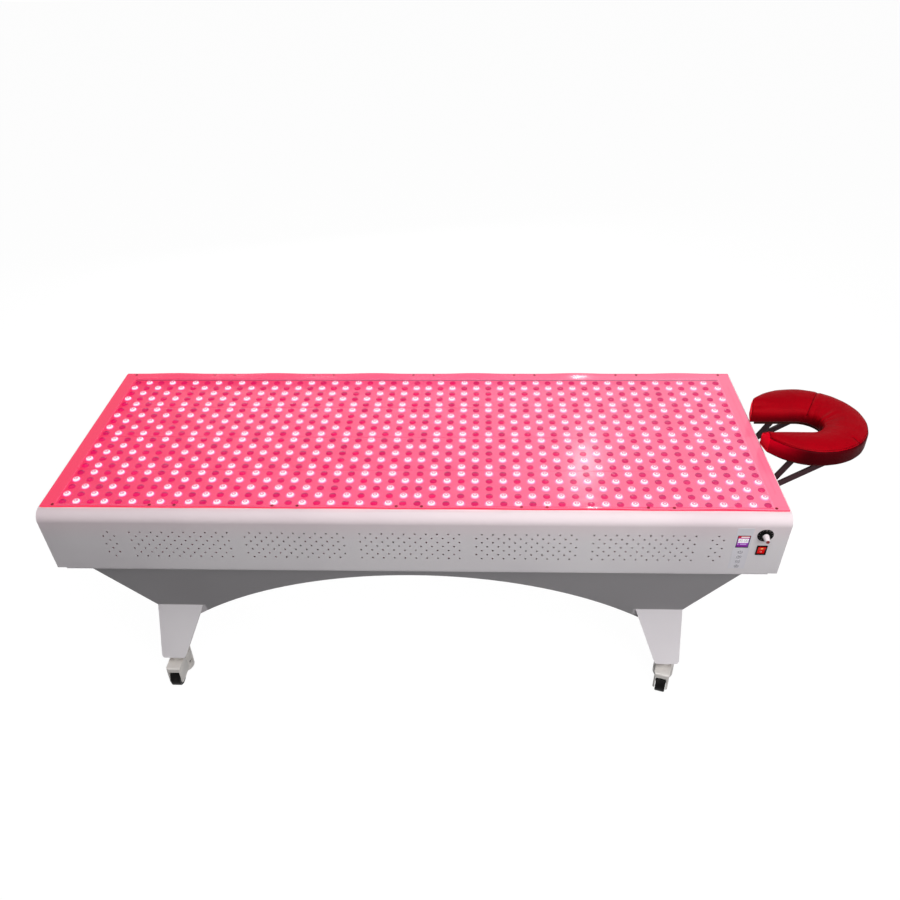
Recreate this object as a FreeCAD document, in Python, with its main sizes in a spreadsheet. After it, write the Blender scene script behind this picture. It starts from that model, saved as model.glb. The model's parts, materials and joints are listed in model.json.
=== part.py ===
import FreeCAD, Part
import math
import os

import Sketcher

# Red light therapy bed. Millimetres, +X to the head end, -Y to the front, +Z up.
# The origin is on the floor under the middle of the bed.

DIMENSIONS = {
    # Overall cabinet
    "bed_length": 1900,
    "bed_width": 722,
    "bed_height": 670,
    "cabinet_height": 201,
    # Clear cover sheet and its screws
    "cover_thickness": 4,
    "cover_end_gap": 4,
    "cover_module": 315.7,
    "screw_pair_gap": 64,
    "screw_end_inset": 35,
    "screw_head": 8,
    "screw_shank": 4,
    "screw_length": 12,
    # Folded side panels
    "panel_wall": 1.5,
    "roll_radius": 27,
    "face_lean": 4.8,
    "top_flange": 15,
    "bottom_flange": 20,
    "end_flange": 35,
    "panel_fit": 0.1,
    # Vent holes in the side panels
    "vent_hole": 5,
    "vent_row_gap": 14.63,
    "vent_top": 65.4,
    "vent_group_gap": 14.6,
    "vent_end_gap": 183.7,
    "vent_end_inset": 172.3,
    # Bottom pan
    "pan_wall": 1.5,
    "pan_lip": 6,
    "pan_end_inset": 22,
    "pan_side_inset": 3,
    # Light field
    "field_end_inset": 27.5,
    "lens_pitch_y": 31.4,
    "lens_base": 19,
    "lens_tip": 15,
    "lens_height": 8,
    "lens_cover_gap": 2,
    "board_wall": 1.6,
    "board_gap": 2,
    "tray_wall": 3,
    "tray_margin": 3,
    # Welded inner frame
    "rail_size": 20,
    "rail_inset": 60,
    "frame_end_inset": 50,
    "post_inner": 300,
    # Controls on the front face, places measured down from the top
    "overlay_inset": 110,
    "overlay_top": 36.5,
    "overlay_width": 41,
    "overlay_height": 145.5,
    "overlay_wall": 0.5,
    "screen_width": 32.4,
    "screen_height": 43.3,
    "screen_middle": 83.2,
    "screen_depth": 7.4,
    "screen_fit": 0.2,
    "button_size": 13,
    "button_first": 120,
    "button_pitch": 17.35,
    "button_length": 6.2,
    "button_proud": 1.2,
    "button_fit": 0.2,
    "dial_inset": 59.5,
    "dial_middle": 60.4,
    "dial_size": 40,
    "dial_wall": 1.2,
    "knob_base": 17,
    "knob_tip": 11,
    "knob_length": 19,
    "knob_gap": 0.6,
    "knob_cap_size": 9,
    "knob_cap_wall": 1.2,
    "knob_shaft": 6,
    "bush_size": 8,
    "bush_proud": 4,
    "pot_size": 17,
    "pot_depth": 10,
    "rocker_inset": 58.7,
    "rocker_middle": 113.15,
    "bezel_width": 26,
    "bezel_height": 32.3,
    "bezel_wall": 2,
    "bezel_body_width": 22,
    "bezel_body_height": 28.6,
    "bezel_body_depth": 22,
    "rocker_width": 18.8,
    "rocker_height": 24,
    "rocker_gap": 0.8,
    "rocker_thickness": 7,
    "rocker_rise": 2,
    "rocker_pivot_depth": 2,
    "rocker_well_depth": 11,
    "rocker_rest_tilt": 9,
    "rocker_pin": 3,
    "board_spacer": 5,
    "control_margin": 2,
    # Base skirts and legs
    "skirt_wall": 2,
    "skirt_lean": 18.1,
    "skirt_inset": 26.5,
    "skirt_end_inset": 72.5,
    "skirt_flange": 24,
    "skirt_foot": 190,
    "arch_height": 427,
    "fold_height": 245,
    "leg_inset": 196,
    "leg_outer_taper": 4,
    "leg_top_width": 132,
    "leg_bottom_width": 68,
    "leg_toe_inset": 26,
    "leg_heel_inset": 92,
    "leg_wall": 2.5,
    "leg_plate": 4,
    "leg_corner": 10,
    # Levelling casters
    "caster_height": 100,
    "caster_side_inset": 53,
    "stem_size": 12,
    "stem_length": 48,
    "stem_proud": 2,
    "stem_seat": 2,
    "stem_nut_flats": 38,
    "stem_nut_height": 8,
    "lock_nut_flats": 19,
    "lock_nut_height": 10,
    "turn_gap": 0.5,
    "wheel_size": 60,
    "wheel_width": 28,
    "wheel_trail": 30,
    "wheel_hub": 16,
    "wheel_dish": 3,
    "wheel_crown": 2,
    "axle_size": 8,
    "fork_width": 42,
    "fork_front": 22,
    "fork_bottom": 22,
    "fork_slot": 31,
    "fork_roof": 64,
    "fork_round": 5,
    "body_top": 80,
    "boss_size": 34,
    "drum_size": 58,
    "drum_trail": 24,
    "drum_bottom": 12,
    "level_dial": 44,
    "level_dial_low": 30,
    "level_dial_wall": 14,
    "level_dial_gap": 1.5,
    "level_window": 30,
    "pad_size": 42,
    "pad_wall": 8,
    "pad_clear": 6,
    "pad_screw": 12,
    "pad_screw_top": 60,
    "shaft_fit": 0.06,
    # Headrest
    "post_drop": 60.4,
    "post_spread": 105,
    "post_size": 22,
    "post_depth": 140,
    "socket_wall": 3,
    "socket_depth": 150,
    "socket_collar": 44,
    "collar_wall": 3,
    "socket_plate": 4,
    "socket_plate_half": 135,
    "apex_reach": 27,
    "lug_wall": 8,
    "lug_width": 18,
    "pivot_size": 8,
    "pivot_head": 14,
    "pivot_head_wall": 5,
    "bar_width": 16,
    "bar_wall": 6,
    "bar_gap": 0.4,
    "bar_reach": 168,
    "strut_reach": 80,
    "tab_length": 36,
    "tab_width": 20,
    "tab_wall": 3,
    "platform_rise": 94,
    "platform_wall": 10,
    "platform_inset": 12,
    "platform_screw": 5,
    "platform_screw_head": 9,
    "platform_screw_margin": 2,
    "cushion_reach": 127,
    "cushion_outer": 153,
    "cushion_end_angle": 142,
    "cushion_lap": 4,
    "cushion_slot": 48,
    "cushion_slot_reach": 122,
    "cushion_height": 62,
    "cushion_corner": 16,
    "cushion_round": 15,
    # Inside the cabinet
    "supply_length": 215,
    "supply_width": 115,
    "supply_height": 30,
    "supply_x": 220,
    "supply_y": 150,
    "fan_size": 120,
    "fan_depth": 25,
    "fan_bore": 112,
    "fan_hub": 40,
    "fan_strut": 4,
    "fan_spindle": 4,
    "fan_tip_gap": 2,
    "fan_blade_wall": 2,
    "fan_blade_height": 15,
    "fan_blade_pitch": 40,
    "fan_x": 560,
    "fan_y": 130,
    "inlet_y": 0,
    "inlet_z": 520,
    "inlet_flange_width": 48,
    "inlet_flange_height": 30,
    "inlet_flange_wall": 3,
    "inlet_body_width": 27.5,
    "inlet_body_height": 20.5,
    "inlet_body_depth": 24,
    "inlet_well_width": 23.5,
    "inlet_well_height": 16.5,
    "inlet_well_depth": 17,
    "inlet_pin_width": 2,
    "inlet_pin_height": 4,
    "inlet_pin_length": 15,
    "inlet_pin_pitch": 7,
    "inlet_pin_rise": 2,
    "inlet_pin_root": 0.5,
    "loom_size": 10,
    "loom_y": -30,
    "loom_control_gap": 140,
    "loom_rise_y": 312,
    "loom_rise_z": 555,
}

BOARD_COLUMNS = 25
BOARD_ROWS = 5
DARK_COLUMNS = (5, 19)
BOARDS_ALONG = 2
BOARDS_ACROSS = 4
COVER_MODULES = 6
VENT_ROWS = 7
VENT_LONG_ROW = 10
FAN_BLADES = 7
BUTTON_COUNT = 4
DIAL_NOTCHES = 18

FRONT = -1
REAR = 1

Vector = FreeCAD.Vector
X_AXIS = Vector(1, 0, 0)
Y_AXIS = Vector(0, 1, 0)
Z_AXIS = Vector(0, 0, 1)

doc = FreeCAD.newDocument("light_therapy_bed")
sheet = doc.addObject("Spreadsheet::Sheet", "Sizes")


class Size:
    """A length or angle with the sheet formula that gives it."""

    def __init__(self, value, formula):
        self.value = value
        self.formula = formula

    def joined(self, other, sign, value):
        return Size(value, "(%s %s %s)" % (self.formula, sign, other.formula))

    def __add__(self, other):
        other = as_size(other)
        return self.joined(other, "+", self.value + other.value)

    def __sub__(self, other):
        other = as_size(other)
        return self.joined(other, "-", self.value - other.value)

    def __mul__(self, other):
        other = as_size(other)
        return self.joined(other, "*", self.value * other.value)

    def __truediv__(self, other):
        other = as_size(other)
        return self.joined(other, "/", self.value / other.value)

    def __radd__(self, other):
        return as_size(other) + self

    def __rsub__(self, other):
        return as_size(other) - self

    def __rmul__(self, other):
        return as_size(other) * self

    def __neg__(self):
        return as_size(0) - self


def as_size(amount):
    if isinstance(amount, Size):
        return amount
    return Size(float(amount), "%.6f" % amount)


def sine(angle):
    return Size(math.sin(math.radians(angle.value)), "sin(%s)" % angle.formula)


def cosine(angle):
    return Size(math.cos(math.radians(angle.value)), "cos(%s)" % angle.formula)


def tangent(angle):
    return Size(math.tan(math.radians(angle.value)), "tan(%s)" % angle.formula)


class Sheet:
    """Every cell of the sheet as a Size under its own name."""


def fill_sheet():
    cells = Sheet()
    for row, (name, value) in enumerate(DIMENSIONS.items(), start=1):
        sheet.set("A%d" % row, name)
        sheet.set("B%d" % row, str(value))
        sheet.setAlias("B%d" % row, name)
        setattr(cells, name, Size(float(value), "Sizes." + name))
    doc.recompute()
    return cells


S = fill_sheet()
NODES = {}


def keep(label, piece):
    """Name a finished sub-part."""
    piece.Label = label
    NODES[label] = piece
    return piece


def bind(piece, prop, amount):
    piece.setExpression(prop, as_size(amount).formula)


def put(piece, at):
    for letter, amount in zip("xyz", at):
        bind(piece, "Placement.Base." + letter, amount)


def box(name, size, at):
    piece = doc.addObject("Part::Box", name)
    for prop, amount in zip(("Length", "Width", "Height"), size):
        bind(piece, prop, amount)
    put(piece, at)
    return piece


def middle_box(name, size, at):
    """A box centred on at in X and Y that stands on at in Z."""
    along, across, up = size
    x, y, z = at
    return box(name, size, (x - as_size(along) / 2, y - as_size(across) / 2, z))


def cylinder(name, diameter, height, at, axis=Z_AXIS):
    piece = doc.addObject("Part::Cylinder", name)
    piece.Placement = FreeCAD.Placement(Vector(), FreeCAD.Rotation(Z_AXIS, axis))
    bind(piece, "Radius", as_size(diameter) / 2)
    bind(piece, "Height", height)
    put(piece, at)
    return piece


def cone(name, low, high, height, at):
    piece = doc.addObject("Part::Cone", name)
    bind(piece, "Radius1", as_size(low) / 2)
    bind(piece, "Radius2", as_size(high) / 2)
    bind(piece, "Height", height)
    put(piece, at)
    return piece


def hexagon(name, flats, height, at):
    piece = doc.addObject("Part::Prism", name)
    piece.Polygon = 6
    bind(piece, "Circumradius", as_size(flats) / math.sqrt(3))
    bind(piece, "Height", height)
    put(piece, at)
    return piece


def fuse(name, pieces):
    piece = doc.addObject("Part::MultiFuse", name)
    piece.Shapes = pieces
    piece.Refine = True
    return piece


def cut(name, base, tools):
    """Take each tool away from the base in turn."""
    for number, tool in enumerate(tools):
        piece = doc.addObject("Part::Cut", "%s_cut_%d" % (name, number + 1))
        piece.Base = base
        piece.Tool = tool
        base = piece
    return base


def common(name, one, other):
    piece = doc.addObject("Part::Common", name)
    piece.Base = one
    piece.Tool = other
    return piece


def group(name, shapes):
    """Separate solids, placed by a loop, in one sub-part."""
    piece = doc.addObject("Part::Feature", name)
    piece.Shape = Part.makeCompound(shapes)
    return piece


def instance(name, form, placement):
    piece = doc.addObject("Part::Compound", name)
    piece.Links = [form]
    piece.Placement = placement
    return piece


def origin_plane(body, role):
    for feature in body.Origin.OriginFeatures:
        if feature.Role == role:
            return feature
    raise RuntimeError("no plane " + role)


def sketch_on(body, role, name):
    sketch = body.newObject("Sketcher::SketchObject", name)
    sketch.AttachmentSupport = [(origin_plane(body, role), "")]
    sketch.MapMode = "FlatFace"
    return sketch


def constrain(sketch, kind, places, amount):
    number = sketch.addConstraint(Sketcher.Constraint(kind, *places, amount.value))
    sketch.setExpression("Constraints[%d]" % number, amount.formula)


def add_edge(sketch, start, end):
    """Add one line, or an arc where the end has a radius, and say which end is which."""
    first = Vector(as_size(start[0]).value, as_size(start[1]).value, 0)
    last = Vector(as_size(end[0]).value, as_size(end[1]).value, 0)
    if len(end) == 2:
        edge = sketch.addGeometry(Part.LineSegment(first, last))
        return edge, 1, 2
    radius = as_size(end[2])
    chord = last - first
    half = chord.Length / 2
    rise = radius.value - math.sqrt(radius.value ** 2 - half ** 2)
    left = Vector(-chord.y, chord.x, 0).normalize()
    middle = (first + last) / 2 + left * rise * end[3]
    edge = sketch.addGeometry(Part.Arc(first, middle, last))
    constrain(sketch, "Radius", (edge,), radius)
    if sketch.getPoint(edge, 1).distanceToPoint(first) < half:
        return edge, 1, 2
    return edge, 2, 1


def draw(sketch, outline):
    """Draw a closed outline. A point is (x, y), or (x, y, radius, bulge) at the end of an arc.

    The bulge is 1 where the arc swells to the left of the way it is drawn, and -1 to the right.
    """
    pairs = list(zip(outline, outline[1:] + outline[:1]))
    edges = [add_edge(sketch, start, end) for start, end in pairs]
    for (edge, _, end), (after, start, _) in zip(edges, edges[1:] + edges[:1]):
        sketch.addConstraint(Sketcher.Constraint("Coincident", edge, end, after, start))
    for (edge, start, _), (point, _) in zip(edges, pairs):
        constrain(sketch, "DistanceX", (-1, 1, edge, start), as_size(point[0]))
        constrain(sketch, "DistanceY", (-1, 1, edge, start), as_size(point[1]))


def prism(name, role, outline, depth, at=(0, 0, 0), middle=True):
    """A padded outline, half of it on each side of its plane or all of it on one side."""
    body = doc.addObject("PartDesign::Body", name)
    sketch = sketch_on(body, role, name + "_outline")
    draw(sketch, outline)
    pad = body.newObject("PartDesign::Pad", name + "_pad")
    pad.Profile = sketch
    bind(pad, "Length", depth)
    pad.SideType = "Symmetric" if middle else "One side"
    put(body, at)
    return body


def spun(name, outline, at=(0, 0, 0)):
    """A turned piece: the outline is (radius, height) about the upright axis."""
    body = doc.addObject("PartDesign::Body", name)
    sketch = sketch_on(body, "XZ_Plane", name + "_outline")
    draw(sketch, outline)
    turned = body.newObject("PartDesign::Revolution", name + "_turned")
    turned.Profile = sketch
    turned.ReferenceAxis = (sketch, ["V_Axis"])
    turned.Angle = 360
    put(body, at)
    return body


def rounded(body, name, radius, picks):
    """Round the edges of a body whose middle satisfies picks."""
    doc.recompute()
    tip = body.Tip
    names = []
    for number, edge in enumerate(tip.Shape.Edges, start=1):
        if picks(edge):
            names.append("Edge%d" % number)
    if not names:
        raise RuntimeError("no edge to round on " + name)
    fillet = body.newObject("PartDesign::Fillet", name)
    fillet.Base = (tip, names)
    bind(fillet, "Radius", radius)
    return fillet


# Heights and places that several pieces share
HALF_LENGTH = S.bed_length / 2
COVER_BOTTOM = S.bed_height - S.cover_thickness
ROLL_Z = COVER_BOTTOM - S.roll_radius
ROLL_Y = S.bed_width / 2 - S.roll_radius
CABINET_BOTTOM = S.bed_height - S.cabinet_height
FLANGE_EDGE = ROLL_Y - S.top_flange
LENS_TOP = COVER_BOTTOM - S.lens_cover_gap
BOARD_TOP = LENS_TOP - S.lens_height
TRAY_TOP = BOARD_TOP - S.board_wall
TRAY_BOTTOM = TRAY_TOP - S.tray_wall
PAN_TOP = CABINET_BOTTOM
PAN_BOTTOM = PAN_TOP - S.pan_wall
SCREW_Y = ROLL_Y - S.top_flange / 2
RAIL_Y = S.bed_width / 2 - S.rail_inset
CASTER_Y = S.bed_width / 2 - S.caster_side_inset
LEG_TOE = S.bed_width / 2 - S.leg_toe_inset
LEG_HEEL = S.bed_width / 2 - S.leg_heel_inset
LEG_OUTER_TOP = HALF_LENGTH - S.leg_inset
LEG_OUTER_BOTTOM = LEG_OUTER_TOP - S.leg_outer_taper
LEG_INNER_TOP = LEG_OUTER_TOP - S.leg_top_width
LEG_INNER_BOTTOM = LEG_OUTER_BOTTOM - S.leg_bottom_width
CASTER_X = (LEG_OUTER_BOTTOM + LEG_INNER_BOTTOM) / 2
RAIL_BOTTOM = TRAY_BOTTOM - S.rail_size
POST_OUTER = HALF_LENGTH - S.frame_end_inset
LENS_PITCH_X = (S.bed_length - 2 * S.field_end_inset) / (BOARD_COLUMNS * BOARDS_ALONG)
VENT_END_GROUP = HALF_LENGTH - S.vent_end_inset
VENT_GROUP_PITCH = (VENT_END_GROUP - S.vent_end_gap) / 2
VENT_PITCH = (VENT_GROUP_PITCH - S.vent_group_gap) / VENT_LONG_ROW
OVERLAY_X = HALF_LENGTH - S.overlay_inset
DIAL_X = HALF_LENGTH - S.dial_inset
ROCKER_X = HALF_LENGTH - S.rocker_inset
LOOM_TURN_X = OVERLAY_X - S.loom_control_gap
POST_HEIGHT = RAIL_BOTTOM - S.post_drop
PLATFORM_BOTTOM = POST_HEIGHT + S.platform_rise
CUSHION_X = HALF_LENGTH + S.cushion_reach
CUSHION_END_X = HALF_LENGTH - S.cushion_lap
CUSHION_SLOT_X = HALF_LENGTH + S.cushion_slot_reach
HOLE_FIT = S.shaft_fit * 2


def face_y(height, inset=0):
    """How far out the front face is at a height, or a sheet inside it."""
    face_start = ROLL_Z - S.roll_radius * sine(S.face_lean)
    outer = ROLL_Y + S.roll_radius * cosine(S.face_lean)
    return outer - (face_start - height) * tangent(S.face_lean) - as_size(inset) / cosine(S.face_lean)


def face_placement(x, drop, out=0):
    """A frame on the front face: local X along it, local Y up it and local Z out of it."""
    height = S.bed_height - drop
    lean = math.radians(S.face_lean.value)
    place = Vector(as_size(x).value, -face_y(height).value, height.value)
    place += Vector(0, -math.cos(lean), -math.sin(lean)) * as_size(out).value
    return FreeCAD.Placement(place, FreeCAD.Rotation(X_AXIS, 90 + S.face_lean.value))


def up_face(lower, upper):
    """The way up the leaning face from one drop below the top to a smaller one."""
    return (lower - upper) / cosine(S.face_lean)


def on_face(name, form, x, drop, out=0):
    return instance(name, form, face_placement(x, drop, out))


# Cabinet shell


def screw_places():
    """X of the cover screws along one side: one at each end and a pair at each joint."""
    last = HALF_LENGTH.value - S.screw_end_inset.value
    places = [-last, last]
    for joint in range(1, COVER_MODULES):
        middle = (joint - COVER_MODULES / 2) * S.cover_module.value
        places += [middle - S.screw_pair_gap.value / 2, middle + S.screw_pair_gap.value / 2]
    return sorted(places)


def at_screws(shape, sides):
    return [shape.translated(Vector(x, side * SCREW_Y.value, S.bed_height.value))
            for side in sides for x in screw_places()]


def panel_outline(side):
    """The folded sheet across the bed: top flange, roll, leaning face and bottom flange."""
    lean = S.face_lean
    inner_roll = S.roll_radius - S.panel_wall
    foot = face_y(CABINET_BOTTOM)
    sheet_top = CABINET_BOTTOM + S.panel_wall
    outward = [
        (FLANGE_EDGE, COVER_BOTTOM),
        (ROLL_Y, COVER_BOTTOM),
        (ROLL_Y + S.roll_radius * cosine(lean), ROLL_Z - S.roll_radius * sine(lean), S.roll_radius, 1),
        (foot, CABINET_BOTTOM),
        (foot - S.bottom_flange, CABINET_BOTTOM),
        (foot - S.bottom_flange, sheet_top),
        (face_y(sheet_top, S.panel_wall), sheet_top),
        (ROLL_Y + inner_roll * cosine(lean), ROLL_Z - inner_roll * sine(lean)),
        (ROLL_Y, ROLL_Z + inner_roll, inner_roll, -1),
        (FLANGE_EDGE, ROLL_Z + inner_roll),
    ]
    return [mirrored_point(point, side) for point in outward]


def mirrored_point(point, side):
    """Turn a point drawn for +Y to the front or the rear of the bed."""
    if len(point) == 2:
        return side * point[0], point[1]
    return side * point[0], point[1], point[2], side * point[3]


def vent_places():
    """(x, drop) of every vent hole: staggered rows in groups along the face."""
    places = []
    for row in range(VENT_ROWS):
        drop = S.vent_top.value + row * S.vent_row_gap.value
        for number in range(-2, 3):
            long_row = (row + number) % 2 == 0
            count = VENT_LONG_ROW if long_row else VENT_LONG_ROW - 1
            places += vent_row(number * VENT_GROUP_PITCH.value, count, drop)
        for end in (-1, 1):
            places += vent_row(end * VENT_END_GROUP.value, 1 + row % 2, drop)
    return places


def vent_row(middle, count, drop):
    pitch = VENT_PITCH.value
    return [(middle + (number - (count - 1) / 2) * pitch, drop) for number in range(count)]


def face_cutter(shape, x, drop):
    cutter = shape.copy()
    cutter.Placement = face_placement(x, drop).multiply(shape.Placement)
    return cutter


def through_cylinder(diameter):
    """A hole cutter that passes through a panel on both sides."""
    depth = S.panel_wall.value * 4
    return Part.makeCylinder(diameter / 2, depth, Vector(0, 0, -depth / 2))


def through_box(width, height):
    depth = S.panel_wall.value * 4
    return Part.makeBox(width, height, depth, Vector(-width / 2, -height / 2, -depth / 2))


def button_drops():
    return [S.button_first + number * S.button_pitch for number in range(BUTTON_COUNT)]


def control_cutters():
    """Openings for the screen, the buttons, the knob bush and the switch body."""
    screen = through_box(S.screen_width.value, S.screen_height.value)
    button = through_cylinder(S.button_size.value + 2 * S.button_fit.value)
    bush = through_cylinder(S.bush_size.value + HOLE_FIT.value)
    switch = through_box(S.bezel_body_width.value + HOLE_FIT.value,
                         S.bezel_body_height.value + HOLE_FIT.value)
    cutters = [face_cutter(screen, OVERLAY_X, S.screen_middle)]
    cutters += [face_cutter(button, OVERLAY_X, drop) for drop in button_drops()]
    cutters.append(face_cutter(bush, DIAL_X, S.dial_middle))
    cutters.append(face_cutter(switch, ROCKER_X, S.rocker_middle))
    return cutters


def flange_cutters(side):
    depth = S.screw_length.value
    hole = Part.makeCylinder(S.screw_shank.value / 2 + S.shaft_fit.value, depth, Vector(0, 0, -depth))
    return at_screws(hole, [side])


def side_panel(label, side):
    sheet_metal = prism(label + "_sheet", "YZ_Plane", panel_outline(side), S.bed_length)
    vent = through_cylinder(S.vent_hole.value)
    cutters = [face_cutter(vent, x, drop) for x, drop in vent_places()]
    if side == REAR:
        cutters = [hole.mirror(Vector(), Y_AXIS) for hole in cutters]
    else:
        cutters += control_cutters()
    cutters += flange_cutters(side)
    holes = group(label + "_holes", cutters)
    keep(label, cut(label, sheet_metal, [holes]))


def end_outline():
    """The end sheet fits inside the folded side panels."""
    lean = S.face_lean
    fit_roll = S.roll_radius - S.panel_wall - S.panel_fit
    foot_z = CABINET_BOTTOM + S.panel_wall + S.panel_fit
    foot = face_y(foot_z, S.panel_wall + S.panel_fit)
    shoulder = (ROLL_Y + fit_roll * cosine(lean), ROLL_Z - fit_roll * sine(lean))
    crown = ROLL_Z + fit_roll
    return [
        (ROLL_Y, crown),
        (shoulder[0], shoulder[1], fit_roll, 1),
        (foot, foot_z),
        (-foot, foot_z),
        (-shoulder[0], shoulder[1]),
        (-ROLL_Y, crown, fit_roll, 1),
    ]


def end_panel(label, end, openings):
    """A flat end sheet with flanges that carry the cover and meet the pan."""
    wall = S.panel_wall
    middle = end * (HALF_LENGTH - wall / 2)
    sheet_metal = prism(label + "_sheet", "YZ_Plane", end_outline(), wall, (middle, 0, 0))
    flange_middle = end * (HALF_LENGTH - S.end_flange / 2)
    crown = ROLL_Z + S.roll_radius - wall - S.panel_fit
    top_half = FLANGE_EDGE - S.panel_fit
    top = middle_box(label + "_top", (S.end_flange, 2 * top_half, COVER_BOTTOM - crown),
                     (flange_middle, 0, crown))
    foot_half = face_y(CABINET_BOTTOM) - S.bottom_flange - S.panel_fit
    foot = middle_box(label + "_foot", (S.end_flange, 2 * foot_half, wall + S.panel_fit),
                      (flange_middle, 0, CABINET_BOTTOM))
    whole = fuse(label + "_folded", [sheet_metal, top, foot])
    keep(label, cut(label, whole, openings))


def bottom_pan():
    """A flat pan with lips turned down at the front and rear and openings for the fans."""
    half = face_y(CABINET_BOTTOM) - S.pan_side_inset
    length = S.bed_length - 2 * S.pan_end_inset
    pieces = [middle_box("pan_plate", (length, 2 * half, S.pan_wall), (0, 0, PAN_BOTTOM))]
    for name, side in (("front", FRONT), ("rear", REAR)):
        pieces.append(middle_box("pan_lip_" + name, (length, S.pan_wall, S.pan_lip),
                                 (0, side * (half - S.pan_wall / 2), PAN_TOP - S.pan_lip)))
    openings = [cylinder("pan_opening_%d" % number, S.fan_bore, S.pan_wall * 3,
                         (x, S.fan_y, PAN_BOTTOM - S.pan_wall))
                for number, x in enumerate(fan_places())]
    keep("bottom_pan", cut("bottom_pan", fuse("pan_folded", pieces), openings))


def fan_places():
    return [-S.fan_x, S.fan_x]


def inner_frame():
    """Two long rails, cross members and posts that carry the tray on the pan."""
    size = S.rail_size
    pieces = []
    for name, side in (("front", FRONT), ("rear", REAR)):
        pieces.append(middle_box("rail_" + name, (2 * POST_OUTER + size, size, size),
                                 (0, side * RAIL_Y, RAIL_BOTTOM)))
    for number, x in enumerate((-POST_OUTER, -S.post_inner, S.post_inner, POST_OUTER)):
        pieces.append(middle_box("cross_%d" % number, (size, 2 * RAIL_Y, size), (x, 0, RAIL_BOTTOM)))
        for name, side in (("front", FRONT), ("rear", REAR)):
            pieces.append(middle_box("post_%s_%d" % (name, number), (size, size, RAIL_BOTTOM - PAN_TOP),
                                     (x, side * RAIL_Y, PAN_TOP)))
    keep("inner_frame", fuse("inner_frame", pieces))


# Light field


def board_places():
    """Middle of each board, row by row from the front."""
    length = LENS_PITCH_X * BOARD_COLUMNS
    width = S.lens_pitch_y * BOARD_ROWS
    places = []
    for across in range(BOARDS_ACROSS):
        for along in range(BOARDS_ALONG):
            places.append(((along - (BOARDS_ALONG - 1) / 2) * length,
                           (across - (BOARDS_ACROSS - 1) / 2) * width))
    return places


def lens_is_red(row, column):
    """Red and infrared lenses alternate, with two infrared ones more in the middle row."""
    if row == BOARD_ROWS // 2 and column in DARK_COLUMNS:
        return False
    return (row + column) % 2 == 1


def light_field():
    length = LENS_PITCH_X * BOARD_COLUMNS
    width = S.lens_pitch_y * BOARD_ROWS
    tray = middle_box("tray_sheet", (length * BOARDS_ALONG + 2 * S.tray_margin,
                                     width * BOARDS_ACROSS - 2 * S.tray_margin, S.tray_wall),
                      (0, 0, TRAY_BOTTOM))
    keep("led_tray", tray)
    board = middle_box("board_form", (length - S.board_gap, width - S.board_gap, S.board_wall),
                       (0, 0, TRAY_TOP))
    lens = cone("lens_form", S.lens_base, S.lens_tip, S.lens_height, (0, 0, BOARD_TOP))
    doc.recompute()
    boards = []
    red = []
    infrared = []
    for x, y in board_places():
        boards.append(board.Shape.translated(Vector(x.value, y.value, 0)))
        for row in range(BOARD_ROWS):
            for column in range(BOARD_COLUMNS):
                place = Vector(x.value + (column - (BOARD_COLUMNS - 1) / 2) * LENS_PITCH_X.value,
                               y.value + (row - (BOARD_ROWS - 1) / 2) * S.lens_pitch_y.value, 0)
                kind = red if lens_is_red(row, column) else infrared
                kind.append(lens.Shape.translated(place))
    keep("led_boards", group("led_boards", boards))
    keep("red_lenses", group("red_lenses", red))
    keep("infrared_lenses", group("infrared_lenses", infrared))


def top_cover():
    """The clear sheet that one lies on, with countersunk screws through it."""
    length = S.bed_length - 2 * S.cover_end_gap
    plate = middle_box("cover_sheet", (length, 2 * ROLL_Y, S.cover_thickness), (0, 0, COVER_BOTTOM))
    head_depth = (S.screw_head - S.screw_shank) / 2
    screw = spun("screw_form", [
        (0, -S.screw_length),
        (S.screw_shank / 2, -S.screw_length),
        (S.screw_shank / 2, -head_depth),
        (S.screw_head / 2, 0),
        (0, 0),
    ])
    fit = S.shaft_fit
    sink = spun("sink_form", [
        (0, -S.screw_length),
        (S.screw_shank / 2 + fit, -S.screw_length),
        (S.screw_shank / 2 + fit, -head_depth),
        (S.screw_head / 2 + fit, 0),
        (0, 0),
    ])
    doc.recompute()
    holes = group("cover_holes", at_screws(sink.Shape, [FRONT, REAR]))
    keep("top_cover", cut("top_cover", plate, [holes]))
    keep("cover_screws", group("cover_screws", at_screws(screw.Shape, [FRONT, REAR])))


# Base


def skirt_y(height):
    """How far out the skirt's outer face is at a height."""
    top = ROLL_Y + S.roll_radius - S.skirt_inset
    return top - (PAN_BOTTOM - height) * tangent(S.skirt_lean)


def leg_edge(top, bottom, height):
    """X of a leg's side edge at a height."""
    share = (S.fold_height - height) / (S.fold_height - S.caster_height)
    return top + (bottom - top) * share


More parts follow.
